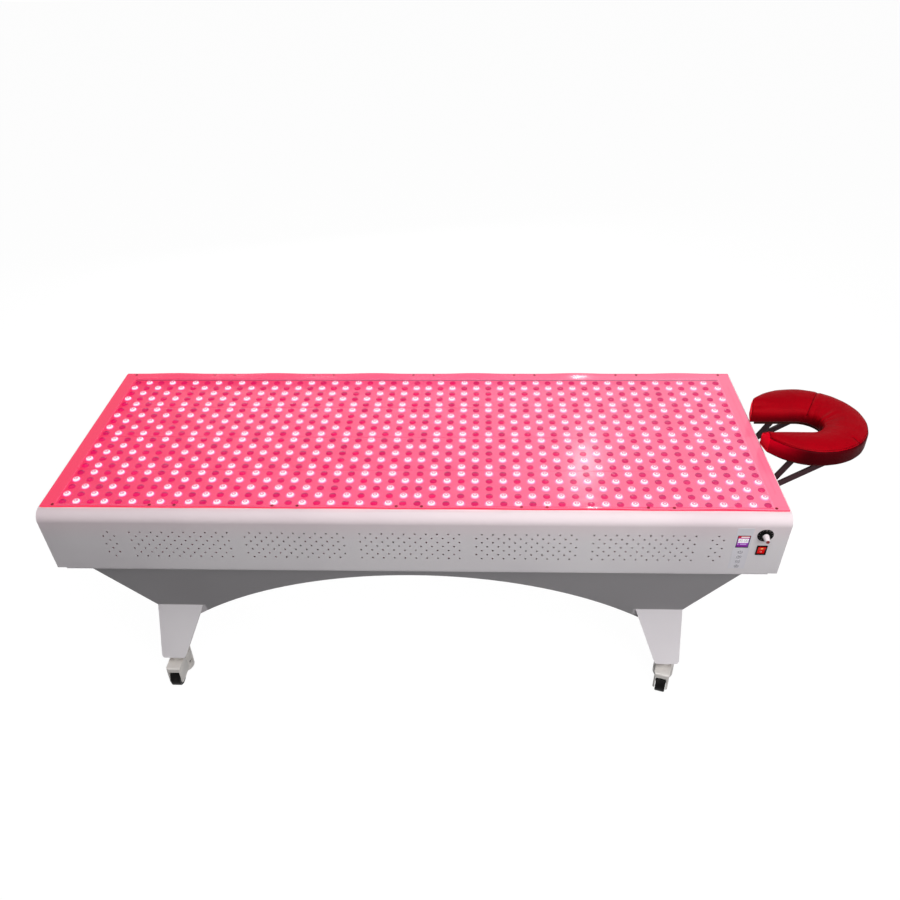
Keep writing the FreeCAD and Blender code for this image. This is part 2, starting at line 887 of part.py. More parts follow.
def skirt(label, side):
    """A leaning sheet with a top flange, cut to an arch between the legs."""
    wall = S.skirt_wall
    thick = wall / cosine(S.skirt_lean)
    flange_low = PAN_BOTTOM - wall
    across = [
        (skirt_y(PAN_BOTTOM), PAN_BOTTOM),
        (skirt_y(S.skirt_foot), S.skirt_foot),
        (skirt_y(S.skirt_foot) - thick, S.skirt_foot),
        (skirt_y(flange_low) - thick, flange_low),
        (skirt_y(PAN_BOTTOM) - S.skirt_flange, flange_low),
        (skirt_y(PAN_BOTTOM) - S.skirt_flange, PAN_BOTTOM),
    ]
    across = [mirrored_point(point, side) for point in across]
    folded = prism(label + "_folded", "YZ_Plane", across, S.bed_length)
    inner = leg_edge(LEG_INNER_TOP, LEG_INNER_BOTTOM, S.skirt_foot)
    outer = leg_edge(LEG_OUTER_TOP, LEG_OUTER_BOTTOM, S.skirt_foot)
    top = HALF_LENGTH - S.skirt_end_inset
    rise = S.arch_height - S.skirt_foot
    arch = (inner * inner + rise * rise) / (2 * rise)
    front = [
        (top, PAN_BOTTOM),
        (-top, PAN_BOTTOM),
        (-LEG_OUTER_TOP, S.fold_height),
        (-outer, S.skirt_foot),
        (-inner, S.skirt_foot),
        (0, S.arch_height, arch, 1),
        (inner, S.skirt_foot, arch, 1),
        (outer, S.skirt_foot),
        (LEG_OUTER_TOP, S.fold_height),
    ]
    shape = prism(label + "_front", "XZ_Plane", front, S.bed_width)
    keep(label, common(label, folded, shape))


def leg_block(name, side_wall, front_wall, floor):
    """A leg's outer block, or the hollow inside it when walls are given."""
    run = skirt_y(S.fold_height) - LEG_TOE
    rise = S.fold_height - S.caster_height
    lean = math.atan2(run.value, rise.value)
    front_shift = front_wall / math.cos(lean)
    low = S.caster_height + floor
    hollow = front_wall.value > 0
    toe = LEG_TOE + run * (floor / rise) - front_shift
    if hollow:
        top = S.fold_height + front_shift
        crest = skirt_y(S.fold_height) + run * (front_shift / rise) - front_shift
        back = skirt_y(S.skirt_foot) - S.leg_plate
        across = [(toe, low), (crest, top), (back, top), (back, low)]
    else:
        across = [(toe, low), (skirt_y(S.fold_height), S.fold_height),
                  (skirt_y(S.skirt_foot), S.skirt_foot), (LEG_HEEL, low)]
    across = [mirrored_point(point, FRONT) for point in across]
    depth = LEG_OUTER_TOP - LEG_INNER_TOP + S.leg_corner
    middle = (LEG_OUTER_TOP + LEG_INNER_TOP) / 2
    slab = prism(name + "_across", "YZ_Plane", across, depth, (middle, 0, 0))
    top = S.fold_height + front_shift
    front = [
        (leg_edge(LEG_INNER_TOP, LEG_INNER_BOTTOM, top) + side_wall, top),
        (leg_edge(LEG_OUTER_TOP, LEG_OUTER_BOTTOM, top) - side_wall, top),
        (leg_edge(LEG_OUTER_TOP, LEG_OUTER_BOTTOM, low) - side_wall, low),
        (leg_edge(LEG_INNER_TOP, LEG_INNER_BOTTOM, low) + side_wall, low),
    ]
    shape = prism(name + "_front", "XZ_Plane", front, S.bed_width * 2)
    if not hollow:
        rounded(shape, name + "_corners", S.leg_corner, low_corner)
    return common(name, slab, shape)


def low_corner(edge):
    """The two edges along Y at the foot of a leg."""
    along_y = abs(edge.tangentAt(edge.FirstParameter).y) > 0.99
    return along_y and edge.CenterOfMass.z < S.caster_height.value + S.leg_corner.value / 2


def legs():
    block = leg_block("leg_block", as_size(0), as_size(0), as_size(0))
    hollow = leg_block("leg_hollow", S.leg_wall, S.leg_wall, S.leg_plate)
    hole = cylinder("leg_hole", S.stem_size + HOLE_FIT, S.leg_plate * 3,
                    (CASTER_X, -CASTER_Y, S.caster_height - S.leg_plate))
    leg = cut("leg_form", block, [hollow, hole])
    doc.recompute()
    right = leg.Shape
    left = right.mirror(Vector(), X_AXIS)
    keep("front_legs", group("front_legs", [left, right]))
    keep("rear_legs", group("rear_legs", [shape.mirror(Vector(), Y_AXIS) for shape in (left, right)]))


# Casters


CASTERS = {
    "front_left": (-1, FRONT, 0),
    "front_right": (1, FRONT, -17),
    "rear_left": (-1, REAR, 165),
    "rear_right": (1, REAR, 200),
}


def caster_stems():
    """Threaded stems with a broad nut under the leg and a lock nut inside it."""
    top = S.caster_height + S.leg_plate
    nut_low = S.caster_height - S.stem_nut_height
    stem_low = top + S.lock_nut_height + S.stem_proud - S.stem_length
    stem = fuse("stem_form", [
        cylinder("stem_rod", S.stem_size, S.stem_length, (0, 0, stem_low)),
        hexagon("stem_nut", S.stem_nut_flats, S.stem_nut_height, (0, 0, nut_low)),
        hexagon("lock_nut", S.lock_nut_flats, S.lock_nut_height, (0, 0, top)),
    ])
    doc.recompute()
    stems = [stem.Shape.translated(Vector(end * CASTER_X.value, side * CASTER_Y.value, 0))
             for end, side, _ in CASTERS.values()]
    keep("caster_stems", group("caster_stems", stems))


def caster_housing():
    """Fork and drum in one moulding, with the wheel's axle across the fork."""
    boss_top = S.caster_height - S.stem_nut_height - S.turn_gap
    axle_y = -S.wheel_trail
    fork_front = axle_y - S.fork_front
    half = S.fork_width / 2
    plan = [(-half, fork_front), (half, fork_front), (half, S.drum_trail), (-half, S.drum_trail)]
    fork = prism("fork_block", "XY_Plane", plan, S.body_top - S.fork_bottom, (0, 0, S.fork_bottom), middle=False)
    front = fork_front.value + 1
    low = S.fork_bottom.value + 1
    rounded(fork, "fork_edges", S.fork_round,
            lambda edge: edge.CenterOfMass.y < front and edge.CenterOfMass.z > low)
    outer = fuse("housing_block", [
        fork,
        cylinder("drum_block", S.drum_size, S.body_top - S.drum_bottom, (0, S.drum_trail, S.drum_bottom)),
        cylinder("boss_block", S.boss_size, boss_top - S.fork_bottom, (0, 0, S.fork_bottom)),
    ])
    slot_front = axle_y - S.wheel_size
    slot_back = axle_y + S.wheel_size / 2 + S.level_dial_gap
    chamber = S.level_dial + 2 * S.level_dial_gap
    chamber_low = S.level_dial_low - S.level_dial_gap
    chamber_height = S.level_dial_wall + 2 * S.level_dial_gap
    tools = [
        box("wheel_slot", (S.fork_slot, slot_back - slot_front, S.fork_roof),
            (-S.fork_slot / 2, slot_front, 0)),
        cylinder("dial_chamber", chamber, chamber_height, (0, S.drum_trail, chamber_low)),
        middle_box("dial_window", (2 * S.drum_size, S.level_window, S.level_dial_wall),
                   (0, S.drum_trail, S.level_dial_low)),
        cylinder("pad_well", S.pad_size + 2 * S.turn_gap, S.pad_clear + 2 * S.pad_wall,
                 (0, S.drum_trail, 0)),
        cylinder("screw_bore", S.pad_screw + HOLE_FIT, S.pad_screw_top + S.level_dial_gap,
                 (0, S.drum_trail, 0)),
        cylinder("stem_bore", S.stem_size + HOLE_FIT, S.caster_height, (0, 0, S.fork_roof + S.stem_seat)),
    ]
    hollow = cut("housing_hollow", outer, tools)
    axle = cylinder("wheel_axle", S.axle_size, S.fork_width, (-S.fork_width / 2, axle_y, S.wheel_size / 2),
                    X_AXIS)
    return fuse("housing_form", [hollow, axle])


def caster_wheel():
    """A solid wheel with a crowned tread and dished sides."""
    half = S.wheel_width / 2
    rim = S.wheel_size / 2
    crown_z = half - S.wheel_crown
    bore = S.axle_size / 2 + S.shaft_fit
    dish = half - S.wheel_dish
    wall = S.wheel_crown * 2
    profile = [
        (bore, -half),
        (S.wheel_hub / 2, -half),
        (S.wheel_hub / 2, -dish),
        (rim - wall * 2, -dish),
        (rim - wall, -half),
        (rim - S.wheel_crown, -half),
        (rim, -crown_z),
        (rim, crown_z),
        (rim - S.wheel_crown, half),
        (rim - wall, half),
        (rim - wall * 2, dish),
        (S.wheel_hub / 2, dish),
        (S.wheel_hub / 2, half),
        (bore, half),
    ]
    wheel = spun("wheel_turned", profile)
    lying = FreeCAD.Rotation(Z_AXIS, X_AXIS)
    place = Vector(0, -S.wheel_trail.value, S.wheel_size.value / 2)
    return instance("wheel_form", wheel, FreeCAD.Placement(place, lying))


def level_dial():
    """The thumb dial that drives the levelling pad, notched round its edge."""
    disc = cylinder("dial_disc", S.level_dial, S.level_dial_wall, (0, S.drum_trail, S.level_dial_low))
    bore = cylinder("dial_bore", S.pad_screw + HOLE_FIT, S.level_dial_wall * 3,
                    (0, S.drum_trail, S.level_dial_low - S.level_dial_wall))
    notch_size = S.level_dial.value / DIAL_NOTCHES
    notches = []
    for number in range(DIAL_NOTCHES):
        angle = 2 * math.pi * number / DIAL_NOTCHES
        place = Vector(math.cos(angle), math.sin(angle), 0) * (S.level_dial.value / 2)
        place += Vector(0, S.drum_trail.value, S.level_dial_low.value - S.level_dial_wall.value)
        notches.append(Part.makeCylinder(notch_size / 2, S.level_dial_wall.value * 3, place))
    return cut("level_dial", disc, [bore, group("dial_notches", notches)])


def levelling_pad():
    """The foot pad on its screw, held clear of the floor."""
    pad = S.pad_size / 2
    screw = S.pad_screw / 2
    edge = S.pad_wall / 4
    return spun("pad_form", [
        (0, S.pad_clear),
        (pad - edge, S.pad_clear),
        (pad, S.pad_clear + edge),
        (pad, S.pad_clear + S.pad_wall - edge),
        (pad - edge, S.pad_clear + S.pad_wall),
        (screw, S.pad_clear + S.pad_wall),
        (screw, S.pad_screw_top),
        (0, S.pad_screw_top),
    ], (0, S.drum_trail, 0))


def casters():
    caster_stems()
    forms = {
        "housing": caster_housing(),
        "wheel": caster_wheel(),
        "dial": level_dial(),
        "pad": levelling_pad(),
    }
    for corner, (end, side, swing) in CASTERS.items():
        place = Vector(end * CASTER_X.value, side * CASTER_Y.value, 0)
        placement = FreeCAD.Placement(place, FreeCAD.Rotation(Z_AXIS, swing))
        for kind, form in forms.items():
            label = "caster_%s_%s" % (corner, kind)
            keep(label, instance(label, form, placement))


# Controls


def overlay_and_screen():
    top = S.overlay_top
    middle = top + S.overlay_height / 2
    plate = middle_box("overlay_plate", (S.overlay_width, S.overlay_height, S.overlay_wall), (0, 0, 0))
    window = middle_box("overlay_window", (S.screen_width, S.screen_height, S.overlay_wall * 4),
                        (0, up_face(middle, S.screen_middle), -S.overlay_wall))
    holes = [cylinder("overlay_hole_%d" % (number + 1), S.button_size + 2 * S.button_fit, S.overlay_wall * 4,
                      (0, up_face(middle, drop), -S.overlay_wall))
             for number, drop in enumerate(button_drops())]
    overlay = cut("overlay_form", plate, [window] + holes)
    keep("control_overlay", on_face("control_overlay", overlay, OVERLAY_X, middle))
    fit = 2 * S.screen_fit
    screen = middle_box("screen_form", (S.screen_width - fit, S.screen_height - fit,
                                        S.screen_depth + S.overlay_wall), (0, 0, -S.screen_depth))
    keep("display_screen", on_face("display_screen", screen, OVERLAY_X, S.screen_middle))
    for number, drop in enumerate(button_drops()):
        back = S.button_proud - S.button_length
        edge = S.button_proud / 2
        rim = S.button_size / 2
        button = spun("button_form_%d" % (number + 1), [
            (0, back),
            (rim, back),
            (rim, S.button_proud - edge),
            (rim - edge, S.button_proud),
            (0, S.button_proud),
        ])
        label = "button_%d" % (number + 1)
        keep(label, on_face(label, button, OVERLAY_X, drop))


def control_board():
    """The board behind the screen and buttons, on spacers from the panel, with a key under each button."""
    middle = S.overlay_top + S.overlay_height / 2
    back = -S.screen_depth - S.board_wall
    spacer_height = S.screen_depth - S.panel_wall
    pieces = [middle_box("control_plate", (S.overlay_width, S.overlay_height, S.board_wall), (0, 0, back))]
    for along in (-1, 1):
        for up in (-1, 1):
            name = "spacer_%d" % (2 + along + (up + 1) // 2)
            place = (along * (S.overlay_width / 2 - S.board_spacer / 2),
                     up * (S.overlay_height / 2 - S.board_spacer / 2), -S.screen_depth)
            pieces.append(cylinder(name, S.board_spacer, spacer_height, place))
    key_height = S.screen_depth + S.button_proud - S.button_length - S.control_margin / 2
    for number, drop in enumerate(button_drops()):
        pieces.append(cylinder("key_%d" % (number + 1), S.button_size / 2, key_height,
                               (0, up_face(middle, drop), -S.screen_depth)))
    board = fuse("board_with_keys", pieces)
    keep("control_board", on_face("control_board", board, OVERLAY_X, middle))


def knob_and_dial():
    """Dial plate, potentiometer behind the panel, tapered knob on its shaft and the knob's cap."""
    bush_hole = S.bush_size + HOLE_FIT
    plate = cylinder("dial_plate_disc", S.dial_size, S.dial_wall, (0, 0, 0))
    plate_hole = cylinder("dial_plate_hole", bush_hole, S.dial_wall * 3, (0, 0, -S.dial_wall))
    plate_cut = cut("dial_plate_form", plate, [plate_hole])
    keep("dial_plate", on_face("dial_plate", plate_cut, DIAL_X, S.dial_middle))
    pot_low = -S.panel_wall - S.pot_depth
    shaft_low = pot_low + S.pot_depth / 4
    shaft_hole = (S.knob_shaft / 2) + S.shaft_fit
    pot = spun("pot_form", [
        (0, pot_low),
        (S.pot_size / 2, pot_low),
        (S.pot_size / 2, -S.panel_wall),
        (S.bush_size / 2, -S.panel_wall),
        (S.bush_size / 2, S.bush_proud),
        (shaft_hole, S.bush_proud),
        (shaft_hole, shaft_low),
        (0, shaft_low),
    ])
    keep("potentiometer", on_face("potentiometer", pot, DIAL_X, S.dial_middle))
    knob_low = S.bush_proud + S.knob_gap
    knob_high = knob_low + S.knob_length
    shaft_end = shaft_low + S.knob_gap
    knob = spun("knob_form", [
        (0, shaft_end),
        (S.knob_shaft / 2, shaft_end),
        (S.knob_shaft / 2, knob_low),
        (S.knob_base / 2, knob_low),
        (S.knob_tip / 2, knob_high),
        (0, knob_high),
    ])
    keep("intensity_knob", on_face("intensity_knob", knob, DIAL_X, S.dial_middle))
    cap = cylinder("cap_form", S.knob_cap_size, S.knob_cap_wall, (0, 0, 0))
    keep("knob_cap", on_face("knob_cap", cap, DIAL_X, S.dial_middle, knob_high))


def rocker_switch():
    """Switch body with its bezel, and a lit rocker on a pin across it."""
    body = fuse("bezel_block", [
        middle_box("bezel_rim", (S.bezel_width, S.bezel_height, S.bezel_wall), (0, 0, 0)),
        middle_box("bezel_body", (S.bezel_body_width, S.bezel_body_height, S.bezel_body_depth),
                   (0, 0, -S.bezel_body_depth)),
    ])
    well = middle_box("bezel_well", (S.rocker_width + S.rocker_gap, S.rocker_height + 2 * S.rocker_gap,
                                     S.rocker_well_depth + S.bezel_wall * 2), (0, 0, -S.rocker_well_depth))
    pin_hole = cylinder("bezel_pin_hole", S.rocker_pin + HOLE_FIT, S.bezel_body_width * 2,
                        (-S.bezel_body_width, 0, -S.rocker_pivot_depth), X_AXIS)
    bezel = cut("bezel_form", body, [well, pin_hole])
    keep("rocker_bezel", on_face("rocker_bezel", bezel, ROCKER_X, S.rocker_middle))
    half = S.rocker_height / 2
    low = S.rocker_rise - S.rocker_thickness
    profile = [
        (-half, low),
        (half, low),
        (half, S.rocker_rise * 2),
        (0, S.rocker_rise),
        (-half, S.rocker_rise * 2),
    ]
    key = prism("rocker_key", "YZ_Plane", profile, S.rocker_width)
    pin = cylinder("rocker_pins", S.rocker_pin, S.bezel_body_width, (-S.bezel_body_width / 2, 0, 0), X_AXIS)
    rocker = fuse("rocker_form", [key, pin])
    tilt = FreeCAD.Placement(Vector(0, 0, -S.rocker_pivot_depth.value),
                             FreeCAD.Rotation(X_AXIS, S.rocker_rest_tilt.value))
    placement = face_placement(ROCKER_X, S.rocker_middle).multiply(tilt)
    keep("rocker", instance("rocker", rocker, placement))


# Headrest


def horseshoe_outline(inset):
    """The cushion's plan, drawn in by an inset: a round back, two cut ends and a slot for the face."""
    outer = S.cushion_outer - inset
    slot = S.cushion_slot + inset
    end_x = CUSHION_END_X + inset
    back_x = CUSHION_SLOT_X + slot
    angle = S.cushion_end_angle
    corner = (CUSHION_X + outer * cosine(angle), outer * sine(angle))
    side = (CUSHION_X + outer * cosine(angle / 2), outer * sine(angle / 2))
    zero = as_size(0)
    return [
        (end_x, zero - slot),
        (corner[0], zero - corner[1]),
        (side[0], zero - side[1], outer, -1),
        (CUSHION_X + outer, zero, outer, -1),
        (side[0], side[1], outer, -1),
        (corner[0], corner[1], outer, -1),
        (end_x, slot),
        (CUSHION_SLOT_X, slot),
        (back_x, zero, slot, 1),
        (CUSHION_SLOT_X, zero - slot, slot, 1),
    ]


def headrest_top():
    low = PLATFORM_BOTTOM
    high = low + S.platform_wall
    board = prism("platform_form", "XY_Plane", horseshoe_outline(S.platform_inset), S.platform_wall,
                  (0, 0, low), middle=False)
    screws = platform_screws()
    keep("headrest_platform", cut("headrest_platform", board, [screws["holes"]]))
    cushion = prism("cushion_form", "XY_Plane", horseshoe_outline(as_size(0)), S.cushion_height,
                    (0, 0, high), middle=False)
    doc.recompute()
    block = cushion.Tip.Shape.BoundBox
    end_x = CUSHION_X.value + S.cushion_outer.value * math.cos(math.radians(S.cushion_end_angle.value))
    rounded(cushion, "cushion_corners", S.cushion_corner,
            lambda edge: abs(edge.CenterOfMass.z - block.Center.z) < 1 and edge.CenterOfMass.x < end_x + 1)
    rounded(cushion, "cushion_roll", S.cushion_round, lambda edge: edge.CenterOfMass.z > block.ZMax - 1)
    keep("headrest_cushion", cushion)


def tab_places():
    """(x, y) of the screw through each bar's and strut's tab, on the +Y side."""
    bar_y = S.post_spread + S.lug_wall / 2 + S.bar_gap + S.bar_wall / 2
    strut_y = S.post_spread - S.lug_wall / 2 - S.bar_gap - S.bar_wall / 2
    return {"bar": (HALF_LENGTH + S.bar_reach, bar_y), "strut": (HALF_LENGTH + S.strut_reach, strut_y)}


def screw_reach():
    """How far past the end of a bar or strut its screw stands."""
    return S.tab_length / 2


def platform_screws():
    """Screws up through the tabs into the board."""
    low = PLATFORM_BOTTOM - S.tab_wall
    length = S.tab_wall + S.platform_wall - S.platform_screw_margin
    screw = fuse("platform_screw_form", [
        cylinder("platform_screw_shank", S.platform_screw, length, (0, 0, low)),
        cylinder("platform_screw_head", S.platform_screw_head, S.tab_wall, (0, 0, low - S.tab_wall)),
    ])
    hole_length = length + S.platform_screw_margin / 2
    hole = cylinder("platform_hole_form", S.platform_screw + HOLE_FIT, hole_length, (0, 0, low))
    doc.recompute()
    places = []
    for x, y in tab_places().values():
        for side in (-1, 1):
            places.append(Vector((x + screw_reach()).value, side * y.value, 0))
    screws = [screw.Shape.translated(place) for place in places]
    holes = [hole.Shape.translated(place) for place in places]
    keep("platform_screws", group("platform_screws", screws))
    return {"holes": group("platform_holes", holes)}


def arm(name, kind):
    """A flat bar from the pivot up to the board, with a tab under the board."""
    x_top, y_middle = tab_places()[kind]
    apex_x = HALF_LENGTH + S.apex_reach
    run = x_top - apex_x
    rise = PLATFORM_BOTTOM - POST_HEIGHT
    lean = math.atan2(rise.value, run.value)
    half = S.bar_width / 2
    across_x = half * math.sin(lean)
    across_z = half * math.cos(lean)
    top_half = half / math.sin(lean)
    outline = [
        (apex_x - across_x, POST_HEIGHT + across_z),
        (apex_x - across_z, POST_HEIGHT - across_x, half, -1),
        (apex_x + across_x, POST_HEIGHT - across_z, half, -1),
        (x_top + top_half, PLATFORM_BOTTOM),
        (x_top - top_half, PLATFORM_BOTTOM),
    ]
    bar = prism(name + "_flat", "XZ_Plane", outline, S.bar_wall, (0, y_middle, 0))
    tab = middle_box(name + "_tab", (S.tab_length + top_half, S.tab_width, S.tab_wall),
                     (x_top + top_half / 2, y_middle, PLATFORM_BOTTOM - S.tab_wall))
    pivot = cylinder(name + "_pivot_hole", S.pivot_size + HOLE_FIT, S.bar_wall * 3,
                     (apex_x, y_middle + S.bar_wall * 1.5, POST_HEIGHT), Vector(0, -1, 0))
    screw = cylinder(name + "_screw_hole", S.platform_screw + HOLE_FIT, S.tab_wall * 3,
                     (x_top + screw_reach(), y_middle, PLATFORM_BOTTOM - S.tab_wall * 2))
    return cut(name + "_form", fuse(name + "_joined", [bar, tab]), [pivot, screw])


def arms():
    bar = arm("bar", "bar")
    strut = arm("strut", "strut")
    doc.recompute()
    for label, piece in (("headrest_bars", bar), ("headrest_struts", strut)):
        near = piece.Shape
        keep(label, group(label, [near, near.mirror(Vector(), Y_AXIS)]))


def posts_and_sockets():
    """Round posts with flat lugs, in sockets that pass through the head end panel."""
    apex_x = HALF_LENGTH + S.apex_reach
    post_end = HALF_LENGTH + S.collar_wall + S.turn_gap
    lug_start = post_end - S.lug_width / 2
    posts = []
    bolts = []
    tubes = []
    bores = []
    for name, side in (("front", FRONT), ("rear", REAR)):
        y = side * S.post_spread
        rod = cylinder("post_rod_" + name, S.post_size, S.post_depth + S.collar_wall + S.turn_gap,
                       (HALF_LENGTH - S.post_depth, y, POST_HEIGHT), X_AXIS)
        lug = box("lug_" + name, (apex_x - lug_start, S.lug_wall, S.lug_width),
                  (lug_start, y - S.lug_wall / 2, POST_HEIGHT - S.lug_width / 2))
        eye = cylinder("eye_" + name, S.lug_width, S.lug_wall, (apex_x, y + S.lug_wall / 2, POST_HEIGHT),
                       Vector(0, -1, 0))
        hole = cylinder("lug_hole_" + name, S.pivot_size + HOLE_FIT, S.lug_wall * 3,
                        (apex_x, y + S.lug_wall * 1.5, POST_HEIGHT), Vector(0, -1, 0))
        posts.append(cut("post_" + name, fuse("post_joined_" + name, [rod, lug, eye]), [hole]))
        grip = S.lug_wall + 2 * (S.bar_gap * 2 + S.bar_wall)
        bolts.append(fuse("pivot_bolt_" + name, [
            cylinder("bolt_rod_" + name, S.pivot_size, grip, (apex_x, y + grip / 2, POST_HEIGHT),
                     Vector(0, -1, 0)),
            cylinder("bolt_head_" + name, S.pivot_head, S.pivot_head_wall,
                     (apex_x, y + grip / 2 + S.pivot_head_wall, POST_HEIGHT), Vector(0, -1, 0)),
            cylinder("bolt_nut_" + name, S.pivot_head, S.pivot_head_wall,
                     (apex_x, y - grip / 2, POST_HEIGHT), Vector(0, -1, 0)),
        ]))
        outer = S.post_size + 2 * S.socket_wall
        tubes.append(cylinder("socket_tube_" + name, outer, S.socket_depth + S.collar_wall,
                              (HALF_LENGTH - S.socket_depth, y, POST_HEIGHT), X_AXIS))
        tubes.append(cylinder("socket_collar_" + name, S.socket_collar, S.collar_wall,
                              (HALF_LENGTH, y, POST_HEIGHT), X_AXIS))
        bores.append(cylinder("socket_bore_" + name, S.post_size + HOLE_FIT, S.socket_depth * 2,
                              (HALF_LENGTH - S.socket_depth + S.socket_plate, y, POST_HEIGHT), X_AXIS))
    plate = middle_box("socket_plate", (S.socket_plate, 2 * S.socket_plate_half,
                                        POST_HEIGHT + S.socket_collar / 2 - PAN_TOP),
                       (HALF_LENGTH - S.socket_depth + S.socket_plate / 2, 0, PAN_TOP))
    doc.recompute()
    keep("headrest_posts", group("headrest_posts", [piece.Shape for piece in posts]))
    keep("pivot_bolts", group("pivot_bolts", [piece.Shape for piece in bolts]))
    keep("headrest_sockets", cut("headrest_sockets", fuse("sockets_joined", tubes + [plate]), bores))


def socket_openings():
    """Holes in the head end panel for the two sockets."""
    size = S.post_size + 2 * S.socket_wall + HOLE_FIT
    return [cylinder("socket_opening_%d" % (number + 1), size, S.panel_wall * 4,
                     (HALF_LENGTH - 2 * S.panel_wall, side * S.post_spread, POST_HEIGHT), X_AXIS)
            for number, side in enumerate((FRONT, REAR))]


# Inside the cabinet


def supply_places():
    return [(end * S.supply_x, side * S.supply_y) for side in (FRONT, REAR) for end in (-1, 1)]


def power_supplies():
    unit = middle_box("supply_form", (S.supply_length, S.supply_width, S.supply_height), (0, 0, PAN_TOP))
    doc.recompute()
    units = [unit.Shape.translated(Vector(x.value, y.value, 0)) for x, y in supply_places()]
    keep("power_supplies", group("power_supplies", units))


def fans():
    """Axial fans over openings in the pan: a square frame with a spindle, and a bladed rotor on it."""
    strut_top = PAN_TOP + S.fan_strut
    bore = cylinder("fan_bore_form", S.fan_bore, S.fan_depth * 3, (0, 0, PAN_TOP - S.fan_depth))
    ring = cut("fan_ring", middle_box("fan_square", (S.fan_size, S.fan_size, S.fan_depth), (0, 0, PAN_TOP)),
               [bore])
    frame = fuse("fan_frame_form", [
        ring,
        middle_box("fan_strut_x", (S.fan_bore + S.fan_strut, S.fan_strut, S.fan_strut), (0, 0, PAN_TOP)),
        middle_box("fan_strut_y", (S.fan_strut, S.fan_bore + S.fan_strut, S.fan_strut), (0, 0, PAN_TOP)),
        cylinder("fan_mount", S.fan_hub, S.fan_strut, (0, 0, PAN_TOP)),
        cylinder("fan_spindle_rod", S.fan_spindle, S.fan_depth - S.fan_strut, (0, 0, PAN_TOP)),
    ])
    low = strut_top + S.turn_gap
    reach = S.fan_bore / 2 - S.fan_tip_gap
    hub = cylinder("rotor_hub", S.fan_hub, S.fan_blade_height, (0, 0, low))
    doc.recompute()
    blade_reach = S.fan_blade_height.value * 2
    blade = Part.makeBox(reach.value, S.fan_blade_wall.value, blade_reach,
                         Vector(0, -S.fan_blade_wall.value / 2, -blade_reach / 2))
    pitch = FreeCAD.Rotation(X_AXIS, S.fan_blade_pitch.value)
    middle = Vector(0, 0, low.value + S.fan_blade_height.value / 2)
    blades = []
    for number in range(FAN_BLADES):
        turned = FreeCAD.Rotation(Z_AXIS, 360 * number / FAN_BLADES)
        leaf = blade.copy()
        leaf.Placement = FreeCAD.Placement(middle, turned.multiply(pitch)).multiply(blade.Placement)
        blades.append(leaf)
    bladed = Part.makeCylinder(reach.value, S.fan_blade_height.value, Vector(0, 0, low.value))
    leaves = Part.makeCompound(blades).common(bladed)
    rotor_shape = hub.Shape.fuse(leaves.Solids).removeSplitter()
    spindle = Part.makeCylinder(S.fan_spindle.value / 2 + S.shaft_fit.value, S.fan_depth.value * 2,
                                Vector(0, 0, PAN_TOP.value))
    rotor_shape = rotor_shape.cut(spindle)
    frames = []
    for number, x in enumerate(fan_places(), start=1):
        place = Vector(x.value, S.fan_y.value, 0)
        frames.append(frame.Shape.translated(place))
        rotor = doc.addObject("Part::Feature", "fan_rotor_%d" % number)
        rotor.Shape = rotor_shape.Solids[0]
        rotor.Placement = FreeCAD.Placement(place, FreeCAD.Rotation())
        keep("fan_rotor_%d" % number, rotor)
    keep("fan_frames", group("fan_frames", frames))


def inlet_opening():
    """Hole in the foot end panel for the mains inlet."""
    fit = HOLE_FIT
    width = S.inlet_body_width + fit
    height = S.inlet_body_height + fit
    return [middle_box("inlet_opening", (S.panel_wall * 4, width, height),
                       (-HALF_LENGTH, S.inlet_y, S.inlet_z - height / 2))]


def mains_inlet():
    """A three-pin appliance inlet with a flange outside the panel."""
    outside = -HALF_LENGTH - S.inlet_flange_wall
    flange = middle_box("inlet_flange", (S.inlet_flange_wall, S.inlet_flange_width, S.inlet_flange_height),
                        (-HALF_LENGTH - S.inlet_flange_wall / 2, S.inlet_y,
                         S.inlet_z - S.inlet_flange_height / 2))
    body = middle_box("inlet_body", (S.inlet_body_depth, S.inlet_body_width, S.inlet_body_height),
                      (-HALF_LENGTH + S.inlet_body_depth / 2, S.inlet_y, S.inlet_z - S.inlet_body_height / 2))
    well = middle_box("inlet_well", (S.inlet_well_depth * 2, S.inlet_well_width, S.inlet_well_height),
                      (outside, S.inlet_y, S.inlet_z - S.inlet_well_height / 2))
    shell = cut("inlet_shell", fuse("inlet_block", [flange, body]), [well])
    pins = []
    for number, (step, up) in enumerate(((-1, -1), (0, 1), (1, -1))):
        pins.append(middle_box("inlet_pin_%d" % (number + 1),
                               (S.inlet_pin_length, S.inlet_pin_width, S.inlet_pin_height),
                               (outside + S.inlet_well_depth - S.inlet_pin_length / 2 + S.inlet_pin_root,
                                S.inlet_y + step * S.inlet_pin_pitch,
                                S.inlet_z + up * S.inlet_pin_rise - S.inlet_pin_height / 2)))
    keep("mains_inlet", fuse("mains_inlet", [shell] + pins))


